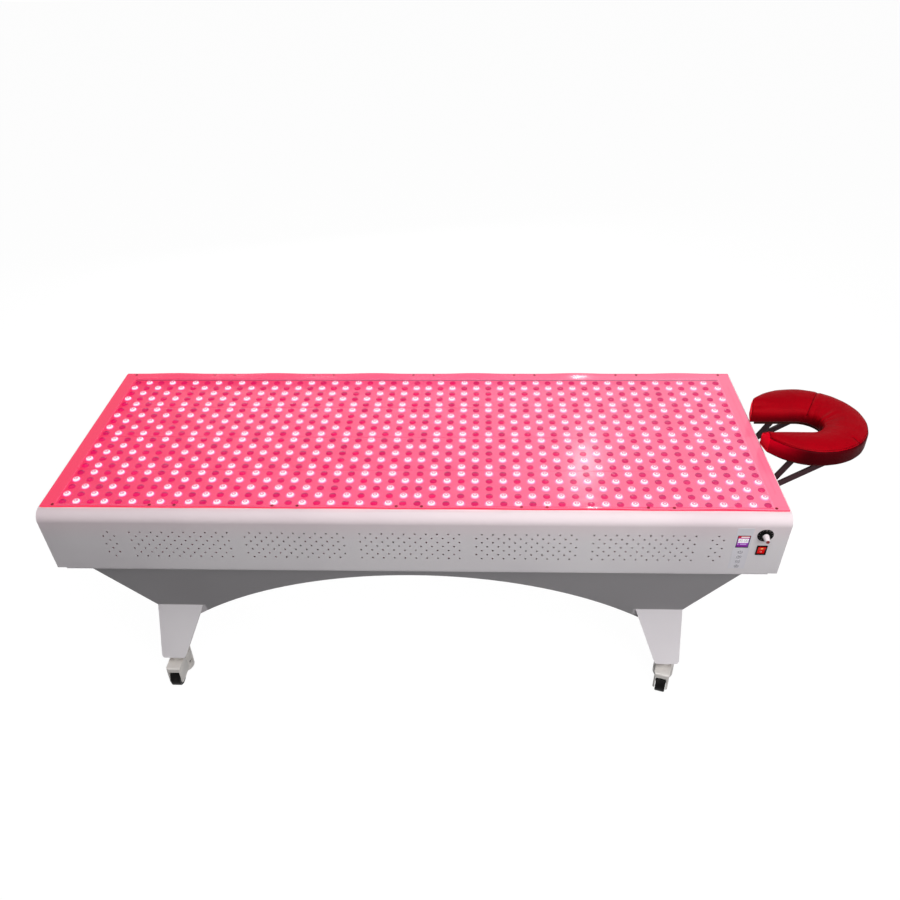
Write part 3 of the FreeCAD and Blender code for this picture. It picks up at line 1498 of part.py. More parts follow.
def wiring_loom():
    """Bundled wires along the pan, with branches to the supplies and up to the control board."""
    size = S.loom_size
    z = PAN_TOP + size / 2 + S.panel_wall * 2
    start = -HALF_LENGTH + S.inlet_body_depth
    pieces = [
        cylinder("loom_drop", size, S.inlet_z - z, (start + size, S.loom_y, z)),
        cylinder("loom_trunk", size, LOOM_TURN_X - start - size, (start + size, S.loom_y, z), X_AXIS),
        cylinder("loom_branch", size, S.loom_rise_y + S.loom_y, (LOOM_TURN_X, S.loom_y, z),
                 Vector(0, -1, 0)),
        cylinder("loom_rise", size, S.loom_rise_z - z, (LOOM_TURN_X, -S.loom_rise_y, z)),
    ]
    corners = ((start + size, S.loom_y), (LOOM_TURN_X, S.loom_y), (LOOM_TURN_X, -S.loom_rise_y))
    for number, (x, y) in enumerate(corners):
        ball = doc.addObject("Part::Sphere", "loom_corner_%d" % (number + 1))
        bind(ball, "Radius", size / 2)
        put(ball, (x, y, z))
        pieces.append(ball)
    inner_side = S.supply_y - S.supply_width / 2
    for number, (x, y) in enumerate(supply_places()):
        toward_front = y.value < 0
        reach = inner_side + S.loom_y if toward_front else inner_side - S.loom_y
        way = Vector(0, -1, 0) if toward_front else Y_AXIS
        pieces.append(cylinder("loom_tail_%d" % (number + 1), size, reach, (x, S.loom_y, z), way))
    keep("wiring_loom", fuse("wiring_loom", pieces))


def build():
    side_panel("front_panel", FRONT)
    side_panel("rear_panel", REAR)
    end_panel("head_end_panel", 1, socket_openings())
    end_panel("foot_end_panel", -1, inlet_opening())
    bottom_pan()
    inner_frame()
    light_field()
    top_cover()
    skirt("front_skirt", FRONT)
    skirt("rear_skirt", REAR)
    legs()
    casters()
    overlay_and_screen()
    control_board()
    knob_and_dial()
    rocker_switch()
    headrest_top()
    arms()
    posts_and_sockets()
    power_supplies()
    fans()
    mains_inlet()
    wiring_loom()


def write_parts():
    doc.recompute()
    for piece in doc.Objects:
        if "Invalid" in piece.State or "Error" in piece.State:
            raise RuntimeError("%s failed: %s" % (piece.Label, piece.State))
    for label, piece in NODES.items():
        if piece.Shape.isNull() or not piece.Shape.isValid():
            raise RuntimeError(label + " has no valid shape")
        if not piece.Shape.Solids:
            raise RuntimeError(label + " has no solid")
    os.makedirs("parts", exist_ok=True)
    for label, piece in NODES.items():
        piece.Shape.exportStep("parts/%s.step" % label)
        print(label, len(piece.Shape.Solids), "solids", round(piece.Shape.Volume), "mm3")


build()
write_parts()
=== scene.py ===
import json
import math

import bpy
import numpy as np
from mathutils import Matrix, Vector
from mathutils.bvhtree import BVHTree


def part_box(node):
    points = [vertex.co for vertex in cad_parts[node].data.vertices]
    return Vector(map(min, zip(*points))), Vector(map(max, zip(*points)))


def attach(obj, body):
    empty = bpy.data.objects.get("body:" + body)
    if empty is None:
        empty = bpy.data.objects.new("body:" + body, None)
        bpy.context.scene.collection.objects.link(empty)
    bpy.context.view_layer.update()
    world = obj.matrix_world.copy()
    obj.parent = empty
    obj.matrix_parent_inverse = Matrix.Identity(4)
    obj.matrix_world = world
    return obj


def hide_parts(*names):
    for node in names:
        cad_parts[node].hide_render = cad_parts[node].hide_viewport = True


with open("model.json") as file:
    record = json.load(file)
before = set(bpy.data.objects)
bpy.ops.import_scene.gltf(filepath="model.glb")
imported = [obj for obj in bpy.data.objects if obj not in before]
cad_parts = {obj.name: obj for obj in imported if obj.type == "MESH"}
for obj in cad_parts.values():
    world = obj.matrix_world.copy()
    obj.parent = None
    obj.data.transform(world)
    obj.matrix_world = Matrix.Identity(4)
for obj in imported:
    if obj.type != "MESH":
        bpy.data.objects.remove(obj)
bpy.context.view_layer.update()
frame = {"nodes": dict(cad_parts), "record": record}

bl_info = {
    "name": "Red light therapy bed",
    "version": (1, 0, 0),
    "blender": (4, 5, 0),
    "location": "View3D > Sidebar > Bed",
    "description": "Dresses the bed with its finishes, light field, control marks and headrest cushion",
    "category": "Object",
}

# Light field: two boards along the bed and four across, 25 by 5 lenses each
BED_LENGTH = 1.9
PITCH_X = 0.0369
PITCH_Y = 0.0314
BOARD_COLUMNS = 25
BOARD_ROWS = 5
COLUMNS = 2 * BOARD_COLUMNS
ROWS = 4 * BOARD_ROWS
DARK_ROW = 2
DARK_COLUMNS = (5, 19)
BOARD_TOP = 0.656
TRAY_TOP = 0.6544

# Lens outlines: radius and height from the flange to the crown, in millimetres
RED_LENS = ((9.5, 0.0), (9.4, 1.2), (8.9, 1.6), (8.4, 3.6), (7.2, 5.0), (5.0, 5.9), (2.5, 6.3))
INFRARED_LENS = ((9.5, 0.0), (9.4, 1.2), (8.9, 1.5), (8.3, 2.4), (6.8, 3.0), (4.6, 3.3), (2.3, 3.45))
CROWN_RISE = 0.1
LENS_SIDES = 16

# Front face: it starts under the roll and leans inward as it goes down
TOP_HEIGHT = 0.670
ROLL_RADIUS = 0.027
ROLL_Y = 0.334
ROLL_Z = 0.639
FACE_LEAN = math.radians(4.8)
FACE_OUT = Vector((0, -math.cos(FACE_LEAN), -math.sin(FACE_LEAN)))

# Cover screws along one side
SCREW_PLACES = (-0.915, -0.6634, -0.5994, -0.3477, -0.2837, -0.032, 0.032,
                0.2837, 0.3477, 0.5994, 0.6634, 0.915)

# Lanes of the cover sheet, in from each long edge, and its cuts along the bed
COVER_LANES = (0, 0.003, 0.008, 0.014, 0.022, 0.032, 0.046, 0.07, 0.12, 0.2)
COVER_CUTS = 317
BELOW_HEADS = 0.00035

# Control places on the front face, and sizes of their marks
DIAL_X = 0.8905
DIAL_Z = TOP_HEIGHT - 0.0604
DIAL_REACH = 0.0165
TICK_ENDS = (0.0158, 0.0174)
ROCKER_LAMP = (0.8913, 0.5635)
ROCKER_LAMP_RADIUS = 0.0042
# Bars of each button's symbol: place across, place up, width and height
BUTTON_BARS = {
    "button_1": ((0, 0.00145, 0.0007, 0.0035), (0.00105, 0, 0.0027, 0.0007)),
    "button_2": ((0, 0, 0.0056, 0.0009), (0, 0.00165, 0.0009, 0.0024), (0, -0.00165, 0.0009, 0.0024)),
    "button_3": ((0, 0, 0.0056, 0.0009),),
    "button_4": ((0, 0.0022, 0.0008, 0.0028),),
}
POWER_BUTTON = "button_4"
# Read-out digits: their segments and places across, then the size of a digit
READOUT = (("abged", -0.0092), ("abcdef", -0.0040), ("abcdef", 0.0040), ("abcdef", 0.0092))
DIGIT_TALL, DIGIT_WIDE, DIGIT_THICK = 0.0074, 0.0036, 0.0008
COLON_UP = 0.0017

# Headrest cushion: a round back, two cut ends and a slot for the face
CUSHION_CENTRE = Vector((1.0775, 0))
CUSHION_RADIUS = 0.158
END_ANGLE = math.radians(143)
BEND_ANGLE = math.radians(88)
END_X = 0.942
SLOT_X = 1.072
SLOT_HALF = 0.0505
CUSHION_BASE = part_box("headrest_cushion")[0].z
HEM_HEIGHT = 0.009

# Steps of the cushion's mesh, along it and round one cut
ARM_STEPS = 22
BEND_STEPS = 68
BOTTOM_STEPS = 12
SIDE_STEPS = 8
TOP_STEPS = 20
INNER_STEPS = 10
RIM_STEP = BOTTOM_STEPS + SIDE_STEPS + 1
AROUND = BOTTOM_STEPS + SIDE_STEPS + 2 + TOP_STEPS + INNER_STEPS
CAP_RINGS = (0.9, 0.74, 0.54, 0.3)

# One cut of the cushion: lower corner, inner roll, sharpness of the crown and fall of the inner wall
CUT_CORNER = 0.004
CUT_ROLL = 0.016
CROWN_POWER = 2.4
TOP_FALL = 0.001
INNER_TURN = 2.2
INNER_FALL = 1.833

# Share of the bend, from the middle of the back, at which the top panels are sewn together
FAR_JOINT = 0.7
NEAR_DART = -0.57

# Cloth that fills the cushion
FILL_FRAMES = 20
FILL_CLOTH = {
    "quality": 6, "mass": 0.25, "tension_stiffness": 14, "compression_stiffness": 14, "shear_stiffness": 6,
    "bending_stiffness": 0.8, "air_damping": 4, "use_pressure": True, "uniform_pressure_force": 4,
    "vertex_group_mass": "held",
}

# Folds that gather round the inside of the bend: angle in degrees, width, height in millimetres
GATHERS = ((-66, 4.0, -0.8), (-50, 3.4, 0.7), (-34, 4.2, -1.0), (-18, 3.4, 0.9), (-4, 4.4, -1.1),
           (8, 2.8, -1.0), (16, 3.0, 1.5), (25, 3.4, -1.1), (38, 3.6, 0.8), (52, 4.0, -0.9))
GATHER_REACH = 0.062
GATHER_SPREAD = 0.028
GATHER_LEAN = 60
LOOSE_WAVE = 0.0003

# Stage: camera, floor and lamps (name, place, aim, size, power, tint)
CAMERA_LENS = 34.06
CAMERA_PLACE = (0.182, -1.990, 2.025)
CAMERA_RIGHT = Vector((0.99933, 0.03199, -0.01836))
CAMERA_AHEAD = Vector((-0.0367, 0.8149, -0.5784))
FLOOR_HALF = 14.0
FLOOR_GREY = (0.06, 0.06, 0.06)
FLOOR_LIGHT = 0.975
SKY_LIGHT = 0.06
LAMPS = (
    ("ceiling", (0.55, -1.2, 3.1), (0.1, 0.0, 0.5), (2.8, 2.0), 57, (1, 0.99, 0.98)),
    ("front", (1.7, -2.9, 2.4), (0.2, -0.3, 0.4), (2.2, 1.6), 70, (1, 0.98, 0.98)),
    ("back", (-0.6, 2.9, 1.3), (0.0, 0.3, 0.45), (2.4, 1.2), 42, (1, 0.99, 0.98)),
    ("spot", (0.826, 2.301, 2.436), (0.462, -0.118, 0.656), (0.13, 0.17), 8, (1, 1, 1)),
)


def linear(level):
    """A screen level from 0 to 255 as linear light."""
    share = level / 255
    return share / 12.92 if share <= 0.04045 else ((share + 0.055) / 1.055) ** 2.4


def tone(red, green, blue):
    """A linear colour from screen levels."""
    return linear(red), linear(green), linear(blue)


def shaded(tint, share):
    """A colour made darker by a share."""
    return tuple(part * share for part in tint)


def colour(name, description, *levels):
    """A colour property whose default is given in screen levels."""
    return bpy.props.FloatVectorProperty(name=name, description=description, subtype="COLOR",
                                         size=3, min=0, max=1, default=tone(*levels))


def size(name, description, metres):
    """A length property in metres."""
    return bpy.props.FloatProperty(name=name, description=description, default=metres,
                                   min=0, precision=5, unit="LENGTH")


class BedColours(bpy.types.PropertyGroup):
    """Colours that a user would change."""

    powder_coat: colour("Powder coat", "White coat of cabinet, skirts and legs", 229, 226, 229)
    powder_shade: colour("Powder shade", "Cloudy darker patches of the coat", 220, 216, 220)
    # Painted shade: the skirts are the same coat as the legs, made greyer for the shade they stand in.
    painted_skirt_shade: colour("Skirt", "Duller coat of the arched skirts", 158, 156, 159)
    scuff: colour("Scuffs", "Rubbed marks on the legs", 168, 164, 166)
    # Painted light: the field colours are glows painted on the boards, tray, cover and coat, standing in for
    # the lenses' red light on them.
    field_left: colour("Field, foot end", "Lit boards at the foot end", 214, 52, 94)
    field_middle: colour("Field, middle", "Lit boards in the middle", 218, 92, 132)
    field_right: colour("Field, head end", "Lit boards at the head end", 222, 128, 157)
    lamp_white: colour("Lit lens", "Core of a lens that is on", 255, 250, 253)
    lamp_ring: colour("Lens ring", "Reflector seen in a lit lens", 234, 122, 168)
    # Painted light: the halo is a glow painted on the boards around each lit lens; the lit lenses' rims also
    # glow with it.
    halo: colour("Halo", "Glow around a lit lens at the foot end", 255, 64, 158)
    halo_head: colour("Halo, head end", "Glow around a lit lens at the head end", 252, 148, 208)
    # Painted light: the infrared lenses glow crimson for their neighbours' light, and their rim colour is
    # painted shade.
    dark_lens: colour("Dark lens", "Infrared lens, lit by its neighbours", 244, 12, 100)
    dark_head: colour("Dark lens, head end", "Infrared lens in the paler light of the head end", 200, 84, 132)
    dark_rim: colour("Dark lens rim", "Shaded part of an infrared lens", 150, 24, 84)
    # Painted light: the clear sheet's edge is coloured and made to glow red for the light it carries out.
    cover_edge: colour("Cover edge", "Glowing edge of the clear sheet", 236, 26, 74)
    leather: colour("Leather", "Headrest leather", 168, 0, 17)
    # Painted light: the field's red light on the cushion ends, painted in as a brighter colour and a glow.
    leather_lit: colour("Leather in red light", "Cushion ends that face the light field", 206, 0, 30)
    # Painted shade: this colour darkens the side band, its foot and the creases; it also gives the grain and
    # the clouds their darker tone.
    leather_dark: colour("Leather shade", "Side band, creases and worn patches", 78, 0, 8)
    thread: colour("Thread", "Seams and stitches", 70, 0, 8)
    brown_paint: colour("Brown paint", "Headrest bars and struts", 66, 42, 47)
    board_brown: colour("Stained board", "Headrest platform", 84, 42, 34)
    ivory: colour("Ivory nylon", "Caster housings", 228, 224, 220)
    black: colour("Black", "Wheels, bezel and dial", 14, 13, 14)
    # Painted light: the field's red light on the coat next to the cover, painted into its colour.
    spill: colour("Light spill", "Red light on the coat next to the cover", 250, 138, 166)
    # Painted light: the coat seen under the cover is tinted with the field's red light.
    painted_light_under_cover: colour("Under the cover", "Coat that shows through the clear sheet", 250, 92, 130)
    knob_white: colour("Knob", "White knob", 236, 226, 230)
    cap_red: colour("Knob cap", "Dark red cap of the knob", 140, 0, 8)
    rocker_red: colour("Rocker", "Lit rocker", 214, 6, 2)
    overlay: colour("Overlay", "Printed film around the screen", 222, 220, 227)
    print_grey: colour("Print", "Symbols printed on the film", 62, 54, 72)
    yellow_zinc: colour("Yellow zinc", "Passivated caster nuts", 176, 140, 78)


class BedSizes(bpy.types.PropertyGroup):
    """Sizes that a user would change."""

    cover_bow: size("Cover bow", "How far the sheet's edge lifts between screws", 0.0028)
    cover_bow_reach: size("Bow reach", "How far in from the edge the lift dies out", 0.03)
    cushion_side: size("Cushion side", "Height of the side band below its seam", 0.046)
    cushion_crown: size("Cushion crown", "Rise of the top before filling", 0.0125)
    cushion_swell: size("Cushion swell", "Most that the filling may push the leather", 0.0065)
    seam_depth: size("Seam depth", "How far a seam pulls in", 0.0022)
    seam_width: size("Seam width", "Half width of the dip along a seam", 0.0036)
    thread_radius: size("Thread radius", "Radius of the thread in a seam", 0.0007)
    stitch_length: size("Stitch length", "One stitch of the top seam", 0.0034)
    print_thickness: size("Print thickness", "Raised print of the symbols", 0.00015)


class Wire:
    """A shader socket that takes part in Python arithmetic."""

    def __init__(self, finish, socket):
        self.finish = finish
        self.socket = socket

    def __add__(self, other):
        return self.finish.math("ADD", self, other)

    def __radd__(self, other):
        return self.finish.math("ADD", other, self)

    def __sub__(self, other):
        return self.finish.math("SUBTRACT", self, other)

    def __rsub__(self, other):
        return self.finish.math("SUBTRACT", other, self)

    def __mul__(self, other):
        return self.finish.math("MULTIPLY", self, other)

    def __rmul__(self, other):
        return self.finish.math("MULTIPLY", other, self)

    def __truediv__(self, other):
        return self.finish.math("DIVIDE", self, other)

    def __mod__(self, other):
        return self.finish.math("MODULO", self, other)

    def __abs__(self):
        return self.finish.math("ABSOLUTE", self)

    def floor(self):
        return self.finish.math("FLOOR", self)

    def same(self, number):
        return self.finish.math("COMPARE", self, number, 0.25)

    def rising(self, low, high):
        """0 below low and 1 above high, with a smooth step between them."""
        sockets = {"Value": self, "From Min": low, "From Max": high}
        return self.finish.node("ShaderNodeMapRange", {"interpolation_type": "SMOOTHSTEP"}, sockets)

    def between(self, low, high, soft):
        """1 from low to high, fading out over a soft edge on both sides."""
        return self.rising(low - soft, low + soft) * (1 - self.rising(high - soft, high + soft))


class Finish:
    """The nodes of a material, or of the world."""

    def __init__(self, name, world=False):
        self.owner = bpy.data.worlds.new(name) if world else bpy.data.materials.new(name)
        self.owner.use_nodes = True
        self.tree = self.owner.node_tree
        self.tree.nodes.clear()
        self.coordinates = None

    def node(self, kind, settings, sockets, output=0):
        """Any node: its settings are set first, then its sockets get values or links."""
        made = self.tree.nodes.new(kind)
        for key, value in settings.items():
            if key == "stops":
                self.set_stops(made.color_ramp, value)
            else:
                setattr(made, key, value)
        for key, value in sockets.items():
            self.feed(made.inputs[key], value)
        return Wire(self, made.outputs[output])

    def set_stops(self, ramp, stops):
        while len(ramp.elements) < len(stops):
            ramp.elements.new(1)
        for element, (position, tint) in zip(ramp.elements, stops):
            element.position = position
            element.color = (*tint, 1)

    def feed(self, socket, value):
        if isinstance(value, Wire):
            self.tree.links.new(value.socket, socket)
        elif socket.type == "RGBA":
            socket.default_value = (*value, 1)
        else:
            socket.default_value = value

    def math(self, operation, *values):
        return self.node("ShaderNodeMath", {"operation": operation}, dict(enumerate(values)))

    def most(self, first, *others):
        """The largest of several values."""
        for other in others:
            first = self.math("MAXIMUM", first, other)
        return first

    def length(self, first, second):
        """How long a step with these two parts is."""
        return self.math("SQRT", first * first + second * second)

    def mix(self, share, first, second):
        """From the first colour at 0 to the second at 1."""
        sockets = {0: share, 6: first, 7: second}
        return self.node("ShaderNodeMix", {"data_type": "RGBA"}, sockets, 2)

    def spot(self):
        """The point on the piece at rest, in metres."""
        if self.coordinates is None:
            self.coordinates = self.node("ShaderNodeTexCoord", {}, {}, 3)
        return self.coordinates

    def axes(self):
        """X, Y and Z of the point on the piece."""
        x = self.node("ShaderNodeSeparateXYZ", {}, {0: self.spot()})
        parts = x.socket.node.outputs
        return x, Wire(self, parts[1]), Wire(self, parts[2])

    def noise(self, scale, detail, amounts=(1, 1, 1)):
        """Noise over the piece, stretched along its axes."""
        place = self.node("ShaderNodeVectorMath", {"operation": "MULTIPLY"}, {0: self.spot(), 1: amounts})
        return self.node("ShaderNodeTexNoise", {}, {"Vector": place, "Scale": scale, "Detail": detail})

    def cells(self, scale):
        """Distance from the borders of random cells."""
        settings = {"feature": "DISTANCE_TO_EDGE"}
        return self.node("ShaderNodeTexVoronoi", settings, {"Vector": self.spot(), "Scale": scale})

    def ramp(self, share, stops):
        return self.node("ShaderNodeValToRGB", {"stops": stops}, {0: share})

    def bump(self, height, strength, distance):
        sockets = {"Strength": strength, "Distance": distance, "Height": height}
        return self.node("ShaderNodeBump", {}, sockets)

    def put(self, shader, end="ShaderNodeOutputMaterial"):
        """Put a shader on the surface and give back the material or the world."""
        self.feed(self.tree.nodes.new(end).inputs["Surface"], shader)
        return self.owner

    def close(self, sockets):
        """Put one Principled shader on the surface and give back the material."""
        return self.put(self.node("ShaderNodeBsdfPrincipled", {}, sockets))


# Finishes

# Linear colours of surfaces that show mostly by the light of the lenses, with that red light painted into
# them
PAINTED_FIELD_RED = (0.3, 0.0, 0.02)
PAINTED_LENS_CRIMSON = (0.22, 0.0, 0.03)
UNLIT = (0, 0, 0)

# Where the coat's colour and its painted light and shade change, each from its start to its end: heights,
# then distances from the bed's middle
RUBBED = (0.1, 0.26)
SKIRT_FOLD = (0.245, 0.249)
SKIRT_TOP = (0.44, 0.462)
FACE_SPILL = (0.56, 0.668)
FLANGE_HEIGHT = (0.6, 0.62)
ROLL_LIGHT = (0.612, 0.622)
ROLL_SPILL = (0.645, 0.66)
REAR_ROLL = (0.321, 0.333)
FLANGE = (0.3325, 0.334)
SKIRT_ARCH = (0.612, 0.62)
END_PANELS = (0.944, 0.946)
FACE_WALL = (0.0002, 0.0005)
ROLL_WALL = (ROLL_RADIUS - 0.0012, ROLL_RADIUS - 0.0006)
INSIDE_LOW, INSIDE_HIGH, INSIDE_SOFT = 0.476, 0.632, 0.004

# Where the light field changes: along the bed, then out from the middle of a lens
FOOT_HALF = (-0.95, -0.2)
HEAD_HALF = (-0.2, 0.95)
PAST_BED = (0.95, 0.955)
HALO_EDGE = (0.0095, 0.0145)
LIT_RIM = (0.008, 0.0095)
LIT_BOWL = (0.0054, 0.0068)
HOT_SPOT = (0.0013, 0.0027)
HOT_NEAR = 0.0018
DARK_RIM = (0.006, 0.0092)
DARK_SHADE = (-0.0025, 0.0045)

# Bands of the cover that the light fills, painted on as a red glow
COVER_ENDS = (0.9075, 0.911)
COVER_REAR = (0.303, 0.3065)
COVER_FRONT = (0.3275, 0.3295)


def powder_coat_finish(colours):
    """Baked powder coat: fine orange peel, faint clouds and rubs near the feet, with painted shade on the
    skirts and a painted dark inside but for the roll, and painted red light next to the cover, under it and
    in the roll.
    """
    finish = Finish("powder_coat")
    x, y, z = finish.axes()
    along, across = abs(x), abs(y)
    peel = finish.noise(850, 2)
    cloud = finish.noise(2.4, 3)
    streak = finish.noise(26, 4, (1, 1, 0.18)).rising(0.62, 0.74)
    base = finish.mix(cloud.rising(0.35, 0.7), colours.powder_coat, colours.powder_shade)
    base = finish.mix(streak * (1 - z.rising(*RUBBED)) * 0.35, base, colours.scuff)
    # Painted light: red light from the cover painted into the coat high on the face and over the rear roll.
    spill = z.rising(*FACE_SPILL) * 0.12 + z.rising(*ROLL_SPILL) * y.rising(*REAR_ROLL) * 0.8
    base = finish.mix(spill, base, colours.spill)
    # Painted shade: the arched skirts below the cabinet are greyed for the shade they lie in.
    over_fold = finish.most(z.rising(*SKIRT_FOLD), 1 - along.rising(*SKIRT_ARCH))
    skirt = over_fold * (1 - z.rising(*SKIRT_TOP))
    base = finish.mix(skirt * 0.85, base, colours.painted_skirt_shade)
    between_ends = 1 - along.rising(*END_PANELS)
    # Painted light: the coat under the cover, inside the flanges and between the end panels, takes the
    # painted red light.
    under = (1 - across.rising(*FLANGE)) * between_ends * z.rising(*FLANGE_HEIGHT)
    base = finish.mix(under, base, colours.painted_light_under_cover)
    # Painted shade: behind the face and in its vent holes the coat is made near black, standing in for the
    # shade inside the cabinet.
    depth = z * math.tan(FACE_LEAN) - face_point(0, 0).y - across
    inside = depth.rising(*FACE_WALL) * z.between(INSIDE_LOW, INSIDE_HIGH, INSIDE_SOFT) * between_ends
    # Painted light: the hollow of the roll and the inside just under it glow in the field's colour, standing
    # in for the red light that floods in.
    hollow = (1 - finish.length(across - ROLL_Y, z - ROLL_Z).rising(*ROLL_WALL)) * between_ends
    flooded = finish.most(hollow, inside) * z.rising(*ROLL_LIGHT)
    return finish.close({
        "Base Color": finish.mix(inside, base, (0.012, 0.004, 0.004)),
        "Roughness": 0.46 + peel * 0.12 + cloud * 0.06,
        "Normal": finish.bump(peel, 0.12, 0.0006),
        "Specular IOR Level": 0.12,
        "Emission Color": finish.mix(flooded, UNLIT, field_colour(finish, x, colours)),
        "Emission Strength": 0.9,
    })


def metal_finish(name, tint, shade, roughness, grain=(1, 1, 1)):
    """Bare or plated metal with drawn grain and cloudy patches."""
    finish = Finish(name)
    lines = finish.noise(420, 3, grain)
    cloud = finish.noise(34, 3)
    return finish.close({
        "Base Color": finish.mix(cloud.rising(0.3, 0.7), tint, shade),
        "Metallic": 1.0,
        "Roughness": roughness + lines * 0.16 + cloud * 0.08,
        "Normal": finish.bump(lines, 0.1, 0.0003),
    })


def plastic_finish(name, tint, shade, roughness, grit=620, strength=0.12, gloss=0.4):
    """Moulded plastic with a fine spark texture and a slight change of tone."""
    finish = Finish(name)
    spark = finish.noise(grit, 2)
    cloud = finish.noise(18, 3)
    return finish.close({
        "Base Color": finish.mix(cloud.rising(0.3, 0.75), tint, shade),
        "Roughness": roughness + spark * 0.14,
        "Normal": finish.bump(spark, strength, 0.0004),
        "Specular IOR Level": gloss,
    })


class LensCell:
    """Column and row of the lens nearest to a point of the light field, and the place within its cell."""

    def __init__(self, finish):
        self.x, y, _ = finish.axes()
        across = self.x / PITCH_X + COLUMNS / 2
        along = y / PITCH_Y + ROWS / 2
        self.column = across.floor()
        self.row = along.floor()
        self.right = (across - self.column - 0.5) * PITCH_X
        self.up = (along - self.row - 0.5) * PITCH_Y
        self.radius = finish.length(self.right, self.up)


def field_colour(finish, x, colours):
    """The lit field's colour along the bed."""
    stops = [(0.0, colours.field_left), (0.52, colours.field_middle), (1.0, colours.field_right)]
    return finish.ramp(x / BED_LENGTH + 0.5, stops)


def board_finish(colours):
    """White solder mask with the red light that floods it painted on as a glow, and a painted halo around
    each lit lens.
    """
    finish = Finish("board_face")
    cell = LensCell(finish)
    column = cell.column % BOARD_COLUMNS
    row = cell.row % BOARD_ROWS
    dark_column = column.same(DARK_COLUMNS[0]) + column.same(DARK_COLUMNS[1])
    lit = ((row + column) % 2) * (1 - row.same(DARK_ROW) * dark_column)
    # Painted light: the boards glow in the field colour, with a halo round each lit lens, standing in for the
    # light of the lenses on them.
    halo = (1 - cell.radius.rising(*HALO_EDGE)) * lit
    foot_end = 1 - cell.x.rising(*FOOT_HALF)
    cloud = finish.noise(5, 2)
    fine = finish.noise(500, 2)
    lilac = finish.mix(foot_end, colours.halo_head, colours.halo)
    glow = finish.mix(halo * (0.8 + foot_end * 0.1), field_colour(finish, cell.x, colours), lilac)
    return finish.close({
        "Base Color": finish.mix(fine, PAINTED_FIELD_RED, shaded(PAINTED_FIELD_RED, 0.7)),
        "Roughness": 0.42 + fine * 0.1,
        "Emission Color": finish.mix(cloud.rising(0.4, 0.75) * 0.16, glow, shaded(colours.field_left, 0.8)),
        "Emission Strength": 1.0,
        "Specular IOR Level": 0.2,
        "Coat Weight": 0.05 + cloud * 0.1,
        "Coat Roughness": 0.16,
    })


def tray_finish(colours):
    """Bright tray between and around the boards, with the same red light painted on its top as a glow."""
    finish = Finish("tray_metal")
    x, _, z = finish.axes()
    brushed = finish.noise(420, 3, (0.1, 1, 1))
    # Painted light: only the top takes the painted red base and the glow.
    top = z.rising(TRAY_TOP - 0.001, TRAY_TOP - 0.0003)
    return finish.close({
        "Base Color": finish.mix(top, (0.2, 0.2, 0.2), PAINTED_FIELD_RED),
        "Roughness": 0.4 + brushed * 0.16,
        "Normal": finish.bump(brushed, 0.1, 0.0003),
        "Emission Color": finish.mix(top, UNLIT, field_colour(finish, x, colours)),
        "Emission Strength": 0.9,
        "Specular IOR Level": 0.2,
    })


def lit_lens_finish(colours):
    """A lens that is on: a white rim round the pink reflector, with a hot spot in its near half."""
    finish = Finish("lit_lens")
    cell = LensCell(finish)
    hot = 1 - finish.length(cell.right, cell.up + HOT_NEAR).rising(*HOT_SPOT)
    bowl = (1 - cell.radius.rising(*LIT_BOWL)) * (1 - hot)
    rim = cell.radius.rising(*LIT_RIM)
    core = finish.mix(bowl, colours.lamp_white, colours.lamp_ring)
    return finish.close({
        "Base Color": finish.mix(rim, shaded(colours.lamp_white, 0.12), shaded(colours.halo, 0.3)),
        "Roughness": 0.3 + rim * 0.15,
        "Emission Color": finish.mix(rim * 0.75, core, colours.halo_head),
        "Emission Strength": 0.95,
        "Specular IOR Level": 0.1,
    })


def dark_lens_finish(colours):
    """An infrared lens: crimson by its neighbours' light, painted on as a glow with painted shade on its rim
    and far half, each a little different.
    """
    finish = Finish("dark_lens")
    cell = LensCell(finish)
    number = finish.node("ShaderNodeCombineXYZ", {}, {0: cell.column, 1: cell.row})
    chance = finish.node("ShaderNodeTexWhiteNoise", {"noise_dimensions": "2D"}, {"Vector": number})
    rim = cell.radius.rising(*DARK_RIM)
    # Painted shade: the rim and the far half are duller; the rest of the dullness differs at random from lens
    # to lens.
    dull = rim * 0.15 + chance * 0.35 + cell.up.rising(*DARK_SHADE) * 0.5
    body = finish.mix(dull, colours.dark_lens, colours.dark_rim)
    return finish.close({
        "Base Color": finish.mix(dull, PAINTED_LENS_CRIMSON, shaded(PAINTED_LENS_CRIMSON, 0.5)),
        "Roughness": 0.2 + rim * 0.2,
        "Emission Color": finish.mix(cell.x.rising(*HEAD_HALF) * 0.45, body, colours.dark_head),
        "Emission Strength": 0.82,
        "Specular IOR Level": 0.1,
    })


def clear_cover_finish(colours):
    """Clear sheet: a thin veil with faint smears, and a band along its edges that the light fills, painted on
    as a red glow.
    """
    finish = Finish("clear_cover")
    x, y, _ = finish.axes()
    smear = finish.noise(7, 4, (1, 2.2, 1)).rising(0.45, 0.8)
    # Painted light: the sheet glows in the field colour, most in the band.
    band = finish.most(abs(x).rising(*COVER_ENDS), y.rising(*COVER_REAR), (0 - y).rising(*COVER_FRONT))
    return finish.close({
        "Base Color": finish.mix(band, colours.field_right, PAINTED_FIELD_RED),
        "Roughness": 0.1 + smear * 0.14,
        "Alpha": 0.01 + smear * 0.03 + band * 0.76,
        "Emission Color": field_colour(finish, x, colours),
        "Emission Strength": 1.0,
        "Specular IOR Level": 0.4,
    })


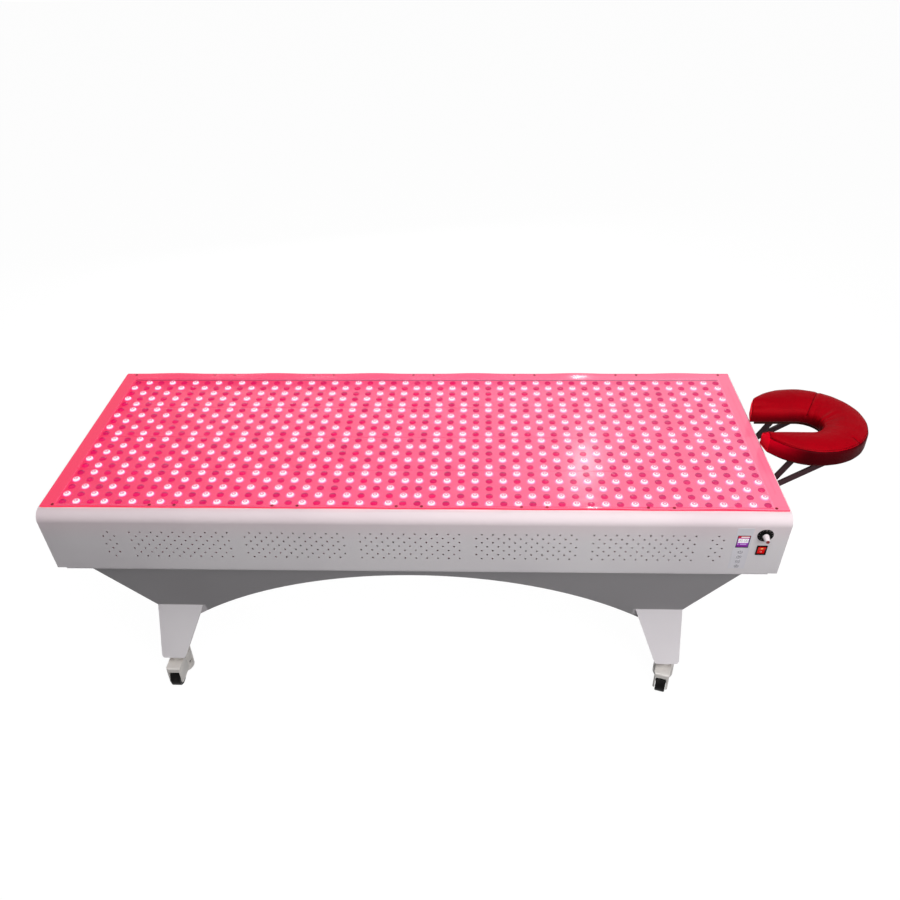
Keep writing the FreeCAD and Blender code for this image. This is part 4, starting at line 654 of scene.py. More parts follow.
def cover_edge_finish(colours):
    """The sheet's sawn edge, with the red light that it carries out painted on as its red colour and glow."""
    finish = Finish("cover_edge")
    bright = colours.cover_edge
    saw = finish.noise(300, 2, (1, 0.1, 0.1))
    uneven = finish.noise(9, 3)
    return finish.close({
        "Base Color": finish.mix(saw, shaded(bright, 0.6), bright),
        "Roughness": 0.3 + saw * 0.2,
        "Emission Color": finish.mix(uneven.rising(0.3, 0.7), shaded(bright, 0.7), bright),
        "Emission Strength": 0.7,
    })


def screw_finish():
    """Plated screw heads: those of the cover stand in red light, painted into their colour; those of the
    headrest don't.
    """
    finish = Finish("zinc_screw")
    x = finish.axes()[0]
    cloud = finish.noise(34, 3).rising(0.3, 0.7)
    lines = finish.noise(420, 3)
    # Painted light: the cover's screws are tinted red for the field's light on them.
    red = finish.mix(cloud, tone(150, 24, 38), tone(92, 10, 20))
    grey = finish.mix(cloud, tone(188, 188, 190), tone(150, 150, 154))
    return finish.close({
        "Base Color": finish.mix(x.rising(*PAST_BED), red, grey),
        "Metallic": 1.0,
        "Roughness": 0.3 + lines * 0.16 + cloud * 0.08,
        "Normal": finish.bump(lines, 0.1, 0.0003),
    })


def leather_finish(name, tint, shade, lit, glow):
    """Soft leather: pebbled grain, fine creases with painted shade in them, painted shade low on the sides
    and painted red light on what faces the bed.
    """
    finish = Finish(name)
    x, _, z = finish.axes()
    pebble = finish.cells(620).rising(0.0, 0.22)
    fine = finish.noise(1500, 2)
    crease = finish.noise(42, 5).between(0.47, 0.5, 0.012)
    cloud = finish.noise(13, 3)
    # Painted shade: the leather darkens towards the bottom of its sides.
    low = 1 - z.rising(CUSHION_BASE + 0.012, CUSHION_BASE + 0.04)
    base = finish.mix(cloud.rising(0.35, 0.7) * 0.12 + low * 0.75, tint, shade)
    # Painted light: what lies near the bed end takes the brighter red and glows with it, less low down.
    near_bed = (1 - x.rising(END_X, END_X + 0.1)) * (1 - low * 0.6) * glow
    base = finish.mix(near_bed, base, lit)
    return finish.close({
        # Painted shade in the creases; the darker tone of the grain is its own.
        "Base Color": finish.mix(crease * 0.1 + (1 - pebble) * 0.12, base, shade),
        "Roughness": 0.42 + fine * 0.12 + (1 - pebble) * 0.12,
        "Normal": finish.bump(pebble * 0.7 + fine * 0.3 - crease * 0.5, 0.14, 0.0004),
        "Specular IOR Level": 0.035,
        "Emission Color": finish.mix(near_bed, UNLIT, lit),
        "Emission Strength": 0.4,
    })


def thread_finish(colours):
    """Twisted thread, darker than the leather."""
    finish = Finish("thread")
    twist = finish.noise(1400, 2, (1, 1, 3))
    return finish.close({
        "Base Color": finish.mix(twist, colours.thread, shaded(colours.thread, 0.5)),
        "Roughness": 0.6 + twist * 0.2,
        "Normal": finish.bump(twist, 0.4, 0.0003),
        "Specular IOR Level": 0.04,
    })


def wood_finish(colours):
    """Stained plywood under the cushion, grain along the bed."""
    finish = Finish("board_brown")
    stain = colours.board_brown
    warp = finish.noise(6, 3)
    grain = finish.noise(38, 5, (0.12, 1, 1))
    pores = finish.noise(320, 2, (0.05, 1, 1)).rising(0.55, 0.7)
    base = finish.mix(grain.rising(0.3, 0.7) * 0.7 + warp * 0.3, stain, shaded(stain, 0.5))
    return finish.close({
        "Base Color": finish.mix(pores * 0.5, base, shaded(stain, 0.25)),
        "Roughness": 0.5 + pores * 0.15,
        "Normal": finish.bump(grain - pores * 0.5, 0.15, 0.0004),
        "Specular IOR Level": 0.04,
    })


def rocker_finish(colours):
    """Clear red plastic with the lamp behind its upper half."""
    finish = Finish("rocker_red")
    red = colours.rocker_red
    x, _, z = finish.axes()
    away_x = (x - ROCKER_LAMP[0]) / ROCKER_LAMP_RADIUS
    away_z = (z - ROCKER_LAMP[1]) / ROCKER_LAMP_RADIUS
    lamp = 1 - finish.length(away_x, away_z).rising(0.1, 1.25)
    fine = finish.noise(700, 2)
    glow = finish.mix(lamp, red, tone(255, 232, 112))
    return finish.close({
        "Base Color": finish.mix(fine * 0.3, shaded(red, 0.5), shaded(red, 0.35)),
        "Roughness": 0.2 + fine * 0.08,
        "Emission Color": finish.mix(0.45 + lamp * 0.55, shaded(red, 0.4), glow),
        "Emission Strength": 0.8,
        "Specular IOR Level": 0.08,
    })


# The screen's colours from its lower edge to its upper one
SCREEN_STOPS = ((0.0, (84, 0, 96)), (0.3, (146, 30, 170)), (0.74, (156, 40, 156)),
                (0.84, (206, 16, 40)), (1.0, (156, 4, 18)))


def screen_finish():
    """A lit panel: red header, white read-out box and violet lower part."""
    finish = Finish("screen")
    x, _, z = finish.axes()
    low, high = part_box("display_screen")
    across = (x - low.x) / (high.x - low.x)
    up = (z - low.z) / (high.z - low.z)
    face = finish.ramp(up, [(place, tone(*levels)) for place, levels in SCREEN_STOPS])
    blue = across.rising(0.82, 1.0) * (1 - up.rising(0.7, 0.85)) * 0.5
    face = finish.mix(blue, face, tone(104, 92, 186))
    box = across.between(0.1, 0.9, 0.012) * up.between(0.4, 0.74, 0.012)
    title = across.between(0.28, 0.92, 0.015) * up.between(0.82, 0.9, 0.012)
    strip = across.between(0.3, 0.8, 0.015) * up.between(0.24, 0.34, 0.012)
    dot = across.between(0.1, 0.19, 0.012) * up.between(0.24, 0.34, 0.012)
    face = finish.mix(box + title * 0.9, face, tone(250, 248, 252))
    face = finish.mix((strip + dot) * 0.85, face, tone(196, 160, 220))
    border = 1 - across.between(0.05, 0.95, 0.008) * up.between(0.045, 0.955, 0.008)
    lines = finish.noise(900, 1)
    return finish.close({
        "Base Color": (0.012, 0.012, 0.014),
        "Roughness": 0.12 + lines * 0.06,
        "Emission Color": finish.mix(border, face, (0.01, 0.01, 0.012)),
        "Emission Strength": 0.9,
        "Specular IOR Level": 0.08,
    })


def dial_plate_finish(colours):
    """Black plastic of the dial plate and the bezel, a little cloudy."""
    finish = Finish("black_plastic")
    fine = finish.noise(800, 2)
    cloud = finish.noise(40, 3)
    return finish.close({
        "Base Color": finish.mix(cloud, shaded(colours.black, 0.8), shaded(colours.black, 1.4)),
        "Roughness": 0.32 + fine * 0.16,
        "Normal": finish.bump(fine, 0.1, 0.0003),
        "Specular IOR Level": 0.03,
    })


def level_dial_finish(colours):
    """Black levelling wheel with red-brown wear on its grip edges."""
    finish = Finish("level_dial")
    fine = finish.noise(500, 2)
    worn = finish.noise(90, 3).rising(0.56, 0.7)
    return finish.close({
        "Base Color": finish.mix(worn * 0.6, colours.black, tone(104, 34, 30)),
        "Roughness": 0.42 + fine * 0.16,
        "Normal": finish.bump(fine, 0.15, 0.0004),
        "Specular IOR Level": 0.1,
    })


def wheel_finish(colours):
    """Black nylon tread, a little grey with floor dust."""
    finish = Finish("black_nylon")
    fine = finish.noise(520, 2)
    dust = finish.noise(70, 4).rising(0.5, 0.78)
    return finish.close({
        "Base Color": finish.mix(dust * 0.12, shaded(colours.black, 0.7), tone(96, 92, 88)),
        "Roughness": 0.3 + dust * 0.25 + fine * 0.1,
        "Normal": finish.bump(fine, 0.12, 0.0004),
        "Specular IOR Level": 0.08,
    })


def circuit_finish():
    """Green solder mask with fine traces."""
    finish = Finish("circuit_green")
    trace = finish.cells(140).rising(0.02, 0.05)
    fine = finish.noise(600, 2)
    return finish.close({
        "Base Color": finish.mix(trace, tone(52, 126, 74), tone(14, 74, 40)),
        "Roughness": 0.35 + fine * 0.15,
        "Normal": finish.bump(trace, 0.2, 0.0003),
    })


def sleeve_finish(colours):
    """Braided sleeve of the wiring."""
    finish = Finish("wire_sleeve")
    x, y, z = finish.axes()
    braid = finish.math("SINE", (x + y + z) * 2400) * finish.math("SINE", (x - y + z) * 2400)
    return finish.close({
        "Base Color": finish.mix(braid * 0.5 + 0.5, colours.black, shaded(colours.black, 4)),
        "Roughness": 0.62 + braid * 0.1,
        "Normal": finish.bump(braid, 0.4, 0.0004),
    })


# Making and placing pieces


def dress(slot, material):
    """Give every node of one of the record's material slots this finish."""
    nodes = [row["node"] for row in frame["record"]["subparts"] if row["material_slot"] == slot]
    if not nodes:
        raise RuntimeError("no node has the slot " + slot)
    for node in nodes:
        slots = frame["nodes"][node].data.materials
        slots.clear()
        slots.append(material)


def placed(name, data):
    """A new object in the scene."""
    made = bpy.data.objects.new(name, data)
    bpy.context.scene.collection.objects.link(made)
    return made


def add_piece(name, shape, materials, body, smooth=True):
    """A new mesh, from points and faces, that moves with a body and takes the finishes it is given."""
    points, faces = shape
    mesh = bpy.data.meshes.new(name)
    mesh.from_pydata([tuple(point) for point in points], [], faces)
    for material in materials:
        mesh.materials.append(material)
    mesh.validate()
    mesh.polygons.foreach_set("use_smooth", [smooth] * len(mesh.polygons))
    piece = placed(name, mesh)
    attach(piece, body)
    return piece


def band(first, second):
    """Quads between two rings of point numbers."""
    count = len(first)
    return [(first[step], first[(step + 1) % count], second[(step + 1) % count], second[step])
            for step in range(count)]


def stacked(count, around):
    """Rings of point numbers, one after the other, and the quads between them."""
    rings = [range(index * around, (index + 1) * around) for index in range(count)]
    faces = [quad for first, second in zip(rings, rings[1:]) for quad in band(first, second)]
    return rings, faces


def turned(face, flip):
    """A face, with its front and back changed over if asked."""
    return tuple(reversed(face)) if flip else tuple(face)


def tube(path, radius, sides):
    """Points and faces of a round tube along a path."""
    points = []
    last = len(path) - 1
    for index, point in enumerate(path):
        along = (path[min(index + 1, last)] - path[max(index - 1, 0)]).normalized()
        side = along.cross(Vector((0, 0, 1)))
        if side.length < 0.1:
            side = along.cross(Vector((1, 0, 0)))
        side.normalize()
        up = side.cross(along)
        for step in range(sides):
            turn = 2 * math.pi * step / sides
            points.append(point + (side * math.cos(turn) + up * math.sin(turn)) * radius)
    rings, faces = stacked(len(path), sides)
    return points, faces + [turned(rings[0], True), turned(rings[-1], False)]


def joined(parts):
    """One list of points and one of faces from several shapes."""
    points, faces = [], []
    for part_points, part_faces in parts:
        start = len(points)
        points += part_points
        faces += [tuple(start + index for index in face) for face in part_faces]
    return points, faces


def surface_tree(mesh):
    """A mesh's surface, to find points on it."""
    corners = [vertex.co for vertex in mesh.vertices]
    return BVHTree.FromPolygons(corners, [polygon.vertices for polygon in mesh.polygons])


def face_point(x, height):
    """The point of the front face at x and a height."""
    start = ROLL_Z - ROLL_RADIUS * math.sin(FACE_LEAN)
    outer = ROLL_Y + ROLL_RADIUS * math.cos(FACE_LEAN)
    return Vector((x, -(outer - (start - height) * math.tan(FACE_LEAN)), height))


class Print:
    """Flat marks on a node of the front face, set on the surface at one place."""

    def __init__(self, node, x, height, thickness):
        tree = surface_tree(frame["nodes"][node].data)
        start = face_point(x, height) + FACE_OUT * 0.08
        self.place, normal = tree.ray_cast(start, -FACE_OUT)[:2]
        if self.place is None:
            raise RuntimeError("no surface under the print on " + node)
        self.out = normal if normal.dot(FACE_OUT) > 0 else -normal
        self.right = Vector((1, 0, 0))
        self.up = self.out.cross(self.right).normalized()
        self.thickness = thickness
        self.parts = []

    def at(self, across, up, rise):
        return self.place + self.right * across + self.up * up + self.out * rise

    def shape(self, outline):
        """A raised flat shape from its outline, drawn anticlockwise in metres."""
        count = len(outline)
        low = [self.at(across, up, -self.thickness) for across, up in outline]
        high = [self.at(across, up, self.thickness) for across, up in outline]
        rings, sides = stacked(2, count)
        self.parts.append((low + high, [turned(rings[1], False), turned(rings[0], True)] + sides))

    def bar(self, across, up, width, height):
        left, right = across - width / 2, across + width / 2
        bottom, top = up - height / 2, up + height / 2
        self.shape([(left, bottom), (right, bottom), (right, top), (left, top)])

    def stroke(self, start, end, width):
        """A straight line of some width between two points."""
        first, second = Vector(start), Vector(end)
        along = second - first
        side = Vector((along.y, -along.x)).normalized() * (width / 2)
        self.shape([tuple(first + side), tuple(second + side), tuple(second - side), tuple(first - side)])

    def arc(self, radius, width, start=0, end=360, steps=36):
        """A ring or part of one, angles in degrees anticlockwise from the right."""
        angles = [math.radians(start + (end - start) * step / steps) for step in range(steps + 1)]
        inner, outer = radius - width / 2, radius + width / 2
        for first, second in zip(angles, angles[1:]):
            corners = ((first, inner), (first, outer), (second, outer), (second, inner))
            self.shape([(reach * math.cos(angle), reach * math.sin(angle)) for angle, reach in corners])

    def piece(self, name, material, body, slot):
        return add_piece(name, joined(self.parts), [material], body, smooth=False)


# Lens sets


def lens_is_lit(row, column):
    board_row, board_column = row % BOARD_ROWS, column % BOARD_COLUMNS
    if board_row == DARK_ROW and board_column in DARK_COLUMNS:
        return False
    return (board_row + board_column) % 2 == 1


def lens_set(name, node, wanted, profile, material):
    """All lenses of one kind as one piece: a flange, a drafted side and a domed top."""
    angles = [2 * math.pi * step / LENS_SIDES for step in range(LENS_SIDES)]
    form = [(reach * math.cos(angle) / 1000, reach * math.sin(angle) / 1000, height / 1000)
            for reach, height in profile for angle in angles]
    crown = len(form)
    form.append((0, 0, (profile[-1][1] + CROWN_RISE) / 1000))
    rings, faces = stacked(len(profile), LENS_SIDES)
    top = rings[-1]
    faces += [(top[step], top[(step + 1) % LENS_SIDES], crown) for step in range(LENS_SIDES)]
    faces.append(turned(rings[0], True))
    parts = []
    for row in range(ROWS):
        for column in range(COLUMNS):
            if lens_is_lit(row, column) is wanted:
                x = (column - (COLUMNS - 1) / 2) * PITCH_X
                y = (row - (ROWS - 1) / 2) * PITCH_Y
                parts.append(([(x + dx, y + dy, BOARD_TOP + dz) for dx, dy, dz in form], faces))
    piece = add_piece(name, joined(parts), [material], "bed")
    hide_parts(node)


# Cover sheet


def bow_at(x):
    """0 at the screws and 1 in the middle of a long span between them."""
    spans = list(zip(SCREW_PLACES, SCREW_PLACES[1:]))
    longest = max(end - start for start, end in spans)
    for start, end in spans:
        if start <= x <= end:
            share = (x - start) / (end - start)
            return math.sin(math.pi * share) ** 2 * ((end - start) / longest) ** 1.5
    return 0.0


def cover_sheet(sizes, materials):
    """The clear sheet, its long edges lifting a little between the screws."""
    low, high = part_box("top_cover")
    half = high.y
    stations = np.linspace(low.x, high.x, COVER_CUTS)
    lanes = [-half + step for step in COVER_LANES] + [0.0] + [half - step for step in reversed(COVER_LANES)]
    points, faces, kinds = [], [], []
    count = len(lanes)
    for level in (low.z, high.z - BELOW_HEADS):
        for x in stations:
            lift = bow_at(x) * sizes.cover_bow
            for y in lanes:
                reach = (half - abs(y)) / sizes.cover_bow_reach
                points.append((x, y, level + lift * math.exp(-reach * reach)))
    layer = COVER_CUTS * count
    for station in range(COVER_CUTS - 1):
        for lane in range(count - 1):
            first = station * count + lane
            second = first + count
            faces.append((first, first + 1, second + 1, second))
            faces.append((layer + first, layer + second, layer + second + 1, layer + first + 1))
            kinds += [0, 0]
        for lane, flip in ((0, False), (count - 1, True)):
            first = station * count + lane
            faces.append(turned((first, first + count, layer + first + count, layer + first), flip))
            kinds.append(1)
    for station, flip in ((0, True), (COVER_CUTS - 1, False)):
        for lane in range(count - 1):
            first = station * count + lane
            faces.append(turned((first, first + 1, layer + first + 1, layer + first), flip))
            kinds.append(1)
    piece = add_piece("cover_sheet", (points, faces), materials, "bed", smooth=False)
    piece.data.polygons.foreach_set("material_index", kinds)
    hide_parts("top_cover")


# Headrest cushion


def rim_point(angle):
    """The point of the cushion's round outline at an angle."""
    return CUSHION_CENTRE + CUSHION_RADIUS * Vector((math.cos(angle), math.sin(angle)))


def cushion_stations():
    """Inner and outer point of each cut through the horseshoe, from the near arm to the far one."""
    near_arm, bend = [], []
    for step in range(ARM_STEPS):
        share = step / ARM_STEPS
        inner = Vector((END_X + (SLOT_X - END_X) * share, -SLOT_HALF))
        near_arm.append((inner, rim_point(-(END_ANGLE + (BEND_ANGLE - END_ANGLE) * share))))
    for step in range(BEND_STEPS + 1):
        share = 2 * step / BEND_STEPS - 1
        turn = share * math.pi / 2
        inner = Vector((SLOT_X + SLOT_HALF * math.cos(turn), SLOT_HALF * math.sin(turn)))
        bend.append((inner, rim_point(share * BEND_ANGLE)))
    far_arm = [(Vector((inner.x, -inner.y)), Vector((outer.x, -outer.y)))
               for inner, outer in reversed(near_arm)]
    return near_arm + bend + far_arm


def cushion_section(width, sizes):
    """One cut: out along the bottom, up the band, back over the top and down inside."""
    side = sizes.cushion_side
    section = []
    for step in range(BOTTOM_STEPS + 1):
        section.append((CUT_CORNER + (width - 2 * CUT_CORNER) * step / BOTTOM_STEPS, 0.0))
    for step in range(SIDE_STEPS + 1):
        section.append((width, CUT_CORNER + (side - CUT_CORNER) * step / SIDE_STEPS))
    for step in range(1, TOP_STEPS + 1):
        share = step / TOP_STEPS
        rise = sizes.cushion_crown * (1 - abs((share - 0.5) * 2) ** CROWN_POWER)
        section.append((width - (width - CUT_ROLL) * share, side + rise - TOP_FALL * share))
    for step in range(1, INNER_STEPS + 1):
        share = step / INNER_STEPS
        turn = min(1.0, share * INNER_TURN) * math.pi / 2
        wall = max(0.0, share - 1 / INNER_TURN) * INNER_FALL * (side - CUT_ROLL - CUT_CORNER)
        drop = CUT_ROLL * (1 - math.cos(turn)) + wall
        section.append((CUT_ROLL * (1 - math.sin(turn)), side - TOP_FALL - drop))
    return section


def cushion_mesh(sizes):
    """The unfilled cushion: points, faces, the finish of each face, held points and seams."""
    stations = cushion_stations()
    points, kinds = [], []
    for inner, outer in stations:
        across = (outer - inner).normalized()
        for reach, height in cushion_section((outer - inner).length, sizes):
            flat = inner + across * reach
            points.append(Vector((flat.x, flat.y, CUSHION_BASE + height)))
    rings, quads = stacked(len(stations), AROUND)
    faces = [(first, fourth, third, second) for first, second, third, fourth in quads]
    round_cut = [1 if BOTTOM_STEPS < step < RIM_STEP else 0 for step in range(AROUND)]
    kinds += round_cut * (len(stations) - 1)
    for ring, flip in ((rings[0], False), (rings[-1], True)):
        rim = [points[index] for index in ring]
        middle = sum(rim, Vector()) / AROUND
        for share in CAP_RINGS:
            fresh = range(len(points), len(points) + AROUND)
            points += [middle + (point - middle) * share for point in rim]
            faces += [turned(quad, flip) for quad in band(ring, fresh)]
            ring = fresh
        faces.append(turned(ring, flip))
        kinds += [2] * (len(CAP_RINGS) * AROUND + 1)
    far_joint, near_dart = (rings[ARM_STEPS + round((share + 1) / 2 * BEND_STEPS)]
                            for share in (FAR_JOINT, NEAR_DART))
    seams = [
        [ring[RIM_STEP] for ring in rings],
        far_joint[RIM_STEP:-INNER_STEPS // 2],
        near_dart[RIM_STEP:RIM_STEP + TOP_STEPS // 3],
        rings[0][RIM_STEP:-2],
        rings[-1][RIM_STEP:-2],
    ]
    held = {*rings[0], *rings[-1]}.union(*seams)
    held.update(index for index, point in enumerate(points) if point.z < CUSHION_BASE + 0.0005)
    return points, faces, kinds, held, seams


def fill_cushion(piece, held, swell):
    """Blow the leather out between its seams with a cloth run, and keep the result."""
    rest = np.array([vertex.co for vertex in piece.data.vertices])
    group = piece.vertex_groups.new(name="held")
    group.add(sorted(held), 1.0, "REPLACE")
    cloth = piece.modifiers.new("fill", "CLOTH")
    for key, value in FILL_CLOTH.items():
        setattr(cloth.settings, key, value)
    cloth.settings.effector_weights.gravity = 0
    cloth.collision_settings.use_collision = False
    cloth.point_cache.frame_start = 1
    cloth.point_cache.frame_end = FILL_FRAMES
    scene = bpy.context.scene
    for number in range(1, FILL_FRAMES + 1):
        scene.frame_set(number)
    shown = piece.evaluated_get(bpy.context.evaluated_depsgraph_get())
    filled = np.array([vertex.co for vertex in shown.data.vertices])
    piece.modifiers.remove(cloth)
    piece.vertex_groups.clear()
    scene.frame_set(1)
    shift = filled - rest
    reach = np.linalg.norm(shift, axis=1, keepdims=True)
    shift *= np.minimum(1.0, swell / np.maximum(reach, 1e-9))
    piece.data.vertices.foreach_set("co", (rest + shift).astype(np.float32).ravel())
    piece.data.update()


def smoothed(piece):
    """Apply one subdivision to a piece's mesh."""
    modifier = piece.modifiers.new("smooth", "SUBSURF")
    modifier.levels = 1
    modifier.render_levels = 1
    shown = piece.evaluated_get(bpy.context.evaluated_depsgraph_get())
    mesh = bpy.data.meshes.new_from_object(shown)
    piece.modifiers.remove(modifier)
    piece.data = mesh


def shape_leather(piece, lines, sizes):
    """Pull the seams in and gather the leather round the inside of the bend."""
    mesh = piece.data
    places = np.array([vertex.co for vertex in mesh.vertices])
    normals = np.array([vertex.normal for vertex in mesh.vertices])
    height = places[:, 2] - CUSHION_BASE
    flat = places[:, :2] - np.array(CUSHION_CENTRE)
    angle = np.degrees(np.arctan2(flat[:, 1], flat[:, 0]))
    reach = np.hypot(flat[:, 0], flat[:, 1])
    inner = np.exp(-((reach - GATHER_REACH) / GATHER_SPREAD) ** 2) * (height > 0.016)
    lean = (reach - 0.07) * GATHER_LEAN
    rise = np.zeros(len(places))
    for middle, width, fold in GATHERS:
        rise += fold / 1000 * np.exp(-((angle - middle - lean) / width) ** 2) * inner
    loose = np.sin(places[:, 0] * 95 + 1.3) * np.sin(places[:, 1] * 110 + 0.4)
    rise += loose * LOOSE_WAVE * (height > 0.004)
    for line in lines:
        nearest = np.full(len(places), 1.0)
        for point in line:
            nearest = np.minimum(nearest, np.linalg.norm(places - point, axis=1))
        rise -= sizes.seam_depth * np.exp(-(nearest / sizes.seam_width) ** 2)
    rise[height < 0.001] = 0
    places += normals * rise[:, None]
    mesh.vertices.foreach_set("co", places.astype(np.float32).ravel())
    mesh.update()


def resampled(line, step):
    """Points at even steps along a line of points."""
    line = np.array(line)
    lengths = np.concatenate([[0], np.cumsum(np.linalg.norm(np.diff(line, axis=0), axis=1))])
    wanted = np.linspace(0, lengths[-1], max(2, int(lengths[-1] / step)))
    return np.stack([np.interp(wanted, lengths, line[:, axis]) for axis in range(3)], axis=1)


# Operators


class BED_OT_stage(bpy.types.Operator):
    """Camera, white floor, lamps and sky"""

    bl_idname = "bed.stage"
    bl_label = "Stage"

    def execute(self, context):
        context.scene.view_settings.view_transform = "Standard"
        self.add_camera(context.scene)
        self.add_floor()
        self.add_sky(context.scene)
        self.add_lamps()
        return {"FINISHED"}

    def add_camera(self, scene):
        camera = bpy.data.cameras.new("camera")
        camera.sensor_width = 36
        camera.lens = CAMERA_LENS
        camera.clip_start = 0.05
        camera.clip_end = 60
        right = CAMERA_RIGHT.normalized()
        ahead = CAMERA_AHEAD.normalized()
        up = right.cross(ahead).normalized()
        turn = Matrix((right, up, -ahead)).transposed().to_4x4()
        scene.camera = placed("camera", camera)
        scene.camera.matrix_world = Matrix.Translation(CAMERA_PLACE) @ turn

    def seen(self, finish):
        """1 for a ray that the camera, a gloss or a clear sheet sends to the backdrop."""
        kinds = ("Is Camera Ray", "Is Glossy Ray", "Is Transmission Ray")
        return finish.most(*(finish.node("ShaderNodeLightPath", {}, {}, kind) for kind in kinds))

    def add_floor(self):
        finish = Finish("floor")
        matt = finish.node("ShaderNodeBsdfDiffuse", {}, {"Color": FLOOR_GREY})
        white = finish.node("ShaderNodeEmission", {}, {"Strength": self.seen(finish) * FLOOR_LIGHT})
        both = finish.node("ShaderNodeAddShader", {}, {0: matt, 1: white})
        corners = [(across * FLOOR_HALF, along * FLOOR_HALF, 0)
                   for across, along in ((-1, -1), (1, -1), (1, 1), (-1, 1))]
        mesh = bpy.data.meshes.new("floor")
        mesh.from_pydata(corners, [], [(0, 1, 2, 3)])
        mesh.materials.append(finish.put(both))
        floor = placed("floor", mesh)

    def add_sky(self, scene):
        finish = Finish("sky", world=True)
        soft = finish.node("ShaderNodeBackground", {}, {"Color": (0.95, 0.96, 1.0), "Strength": SKY_LIGHT})
        white = finish.node("ShaderNodeBackground", {}, {"Color": (1, 1, 1), "Strength": 1.0})
        choice = finish.node("ShaderNodeMixShader", {}, {0: self.seen(finish), 1: soft, 2: white})
        scene.world = finish.put(choice, "ShaderNodeOutputWorld")

    def add_lamps(self):
        """A broad ceiling light, soft ones from the front and the back, and a small ceiling lamp."""
        for name, place, aim, shape, power, tint in LAMPS:
            light = bpy.data.lights.new(name, "AREA")
            light.shape = "RECTANGLE"
            light.size, light.size_y = shape
            light.energy = power
            light.color = tint
            holder = placed(name, light)
            holder.location = place
            direction = Vector(aim) - Vector(place)
            holder.rotation_euler = direction.to_track_quat("-Z", "Y").to_euler()


class BED_OT_cabinet(bpy.types.Operator):
    """Finish of the cabinet, skirts and legs, and of the steel inside"""

    bl_idname = "bed.cabinet"
    bl_label = "Cabinet"

    def execute(self, context):
        colours = context.scene.bed_colours
        dress("powder_coat", powder_coat_finish(colours))
        dress("frame_steel", metal_finish("frame_steel", (0.3, 0.3, 0.31), (0.2, 0.2, 0.21), 0.4))
        return {"FINISHED"}


class BED_OT_light_field(bpy.types.Operator):
    """Tray, boards and domed lenses"""

    bl_idname = "bed.light_field"
    bl_label = "Light field"

    def execute(self, context):
        colours = context.scene.bed_colours
        lit = lit_lens_finish(colours)
        dark = dark_lens_finish(colours)
        dress("tray_metal", tray_finish(colours))
        dress("board_face", board_finish(colours))
        dress("lit_lens", lit)
        dress("dark_lens", dark)
        lens_set("red_lens_set", "red_lenses", True, RED_LENS, lit)
        lens_set("infrared_lens_set", "infrared_lenses", False, INFRARED_LENS, dark)
        return {"FINISHED"}


class BED_OT_cover(bpy.types.Operator):
    """Clear sheet with its glowing edge, and its screws"""

    bl_idname = "bed.cover"
    bl_label = "Cover"

    def execute(self, context):
        colours = context.scene.bed_colours
        clear = clear_cover_finish(colours)
        dress("clear_cover", clear)
        dress("zinc_screw", screw_finish())
        cover_sheet(context.scene.bed_sizes, [clear, cover_edge_finish(colours)])
        return {"FINISHED"}


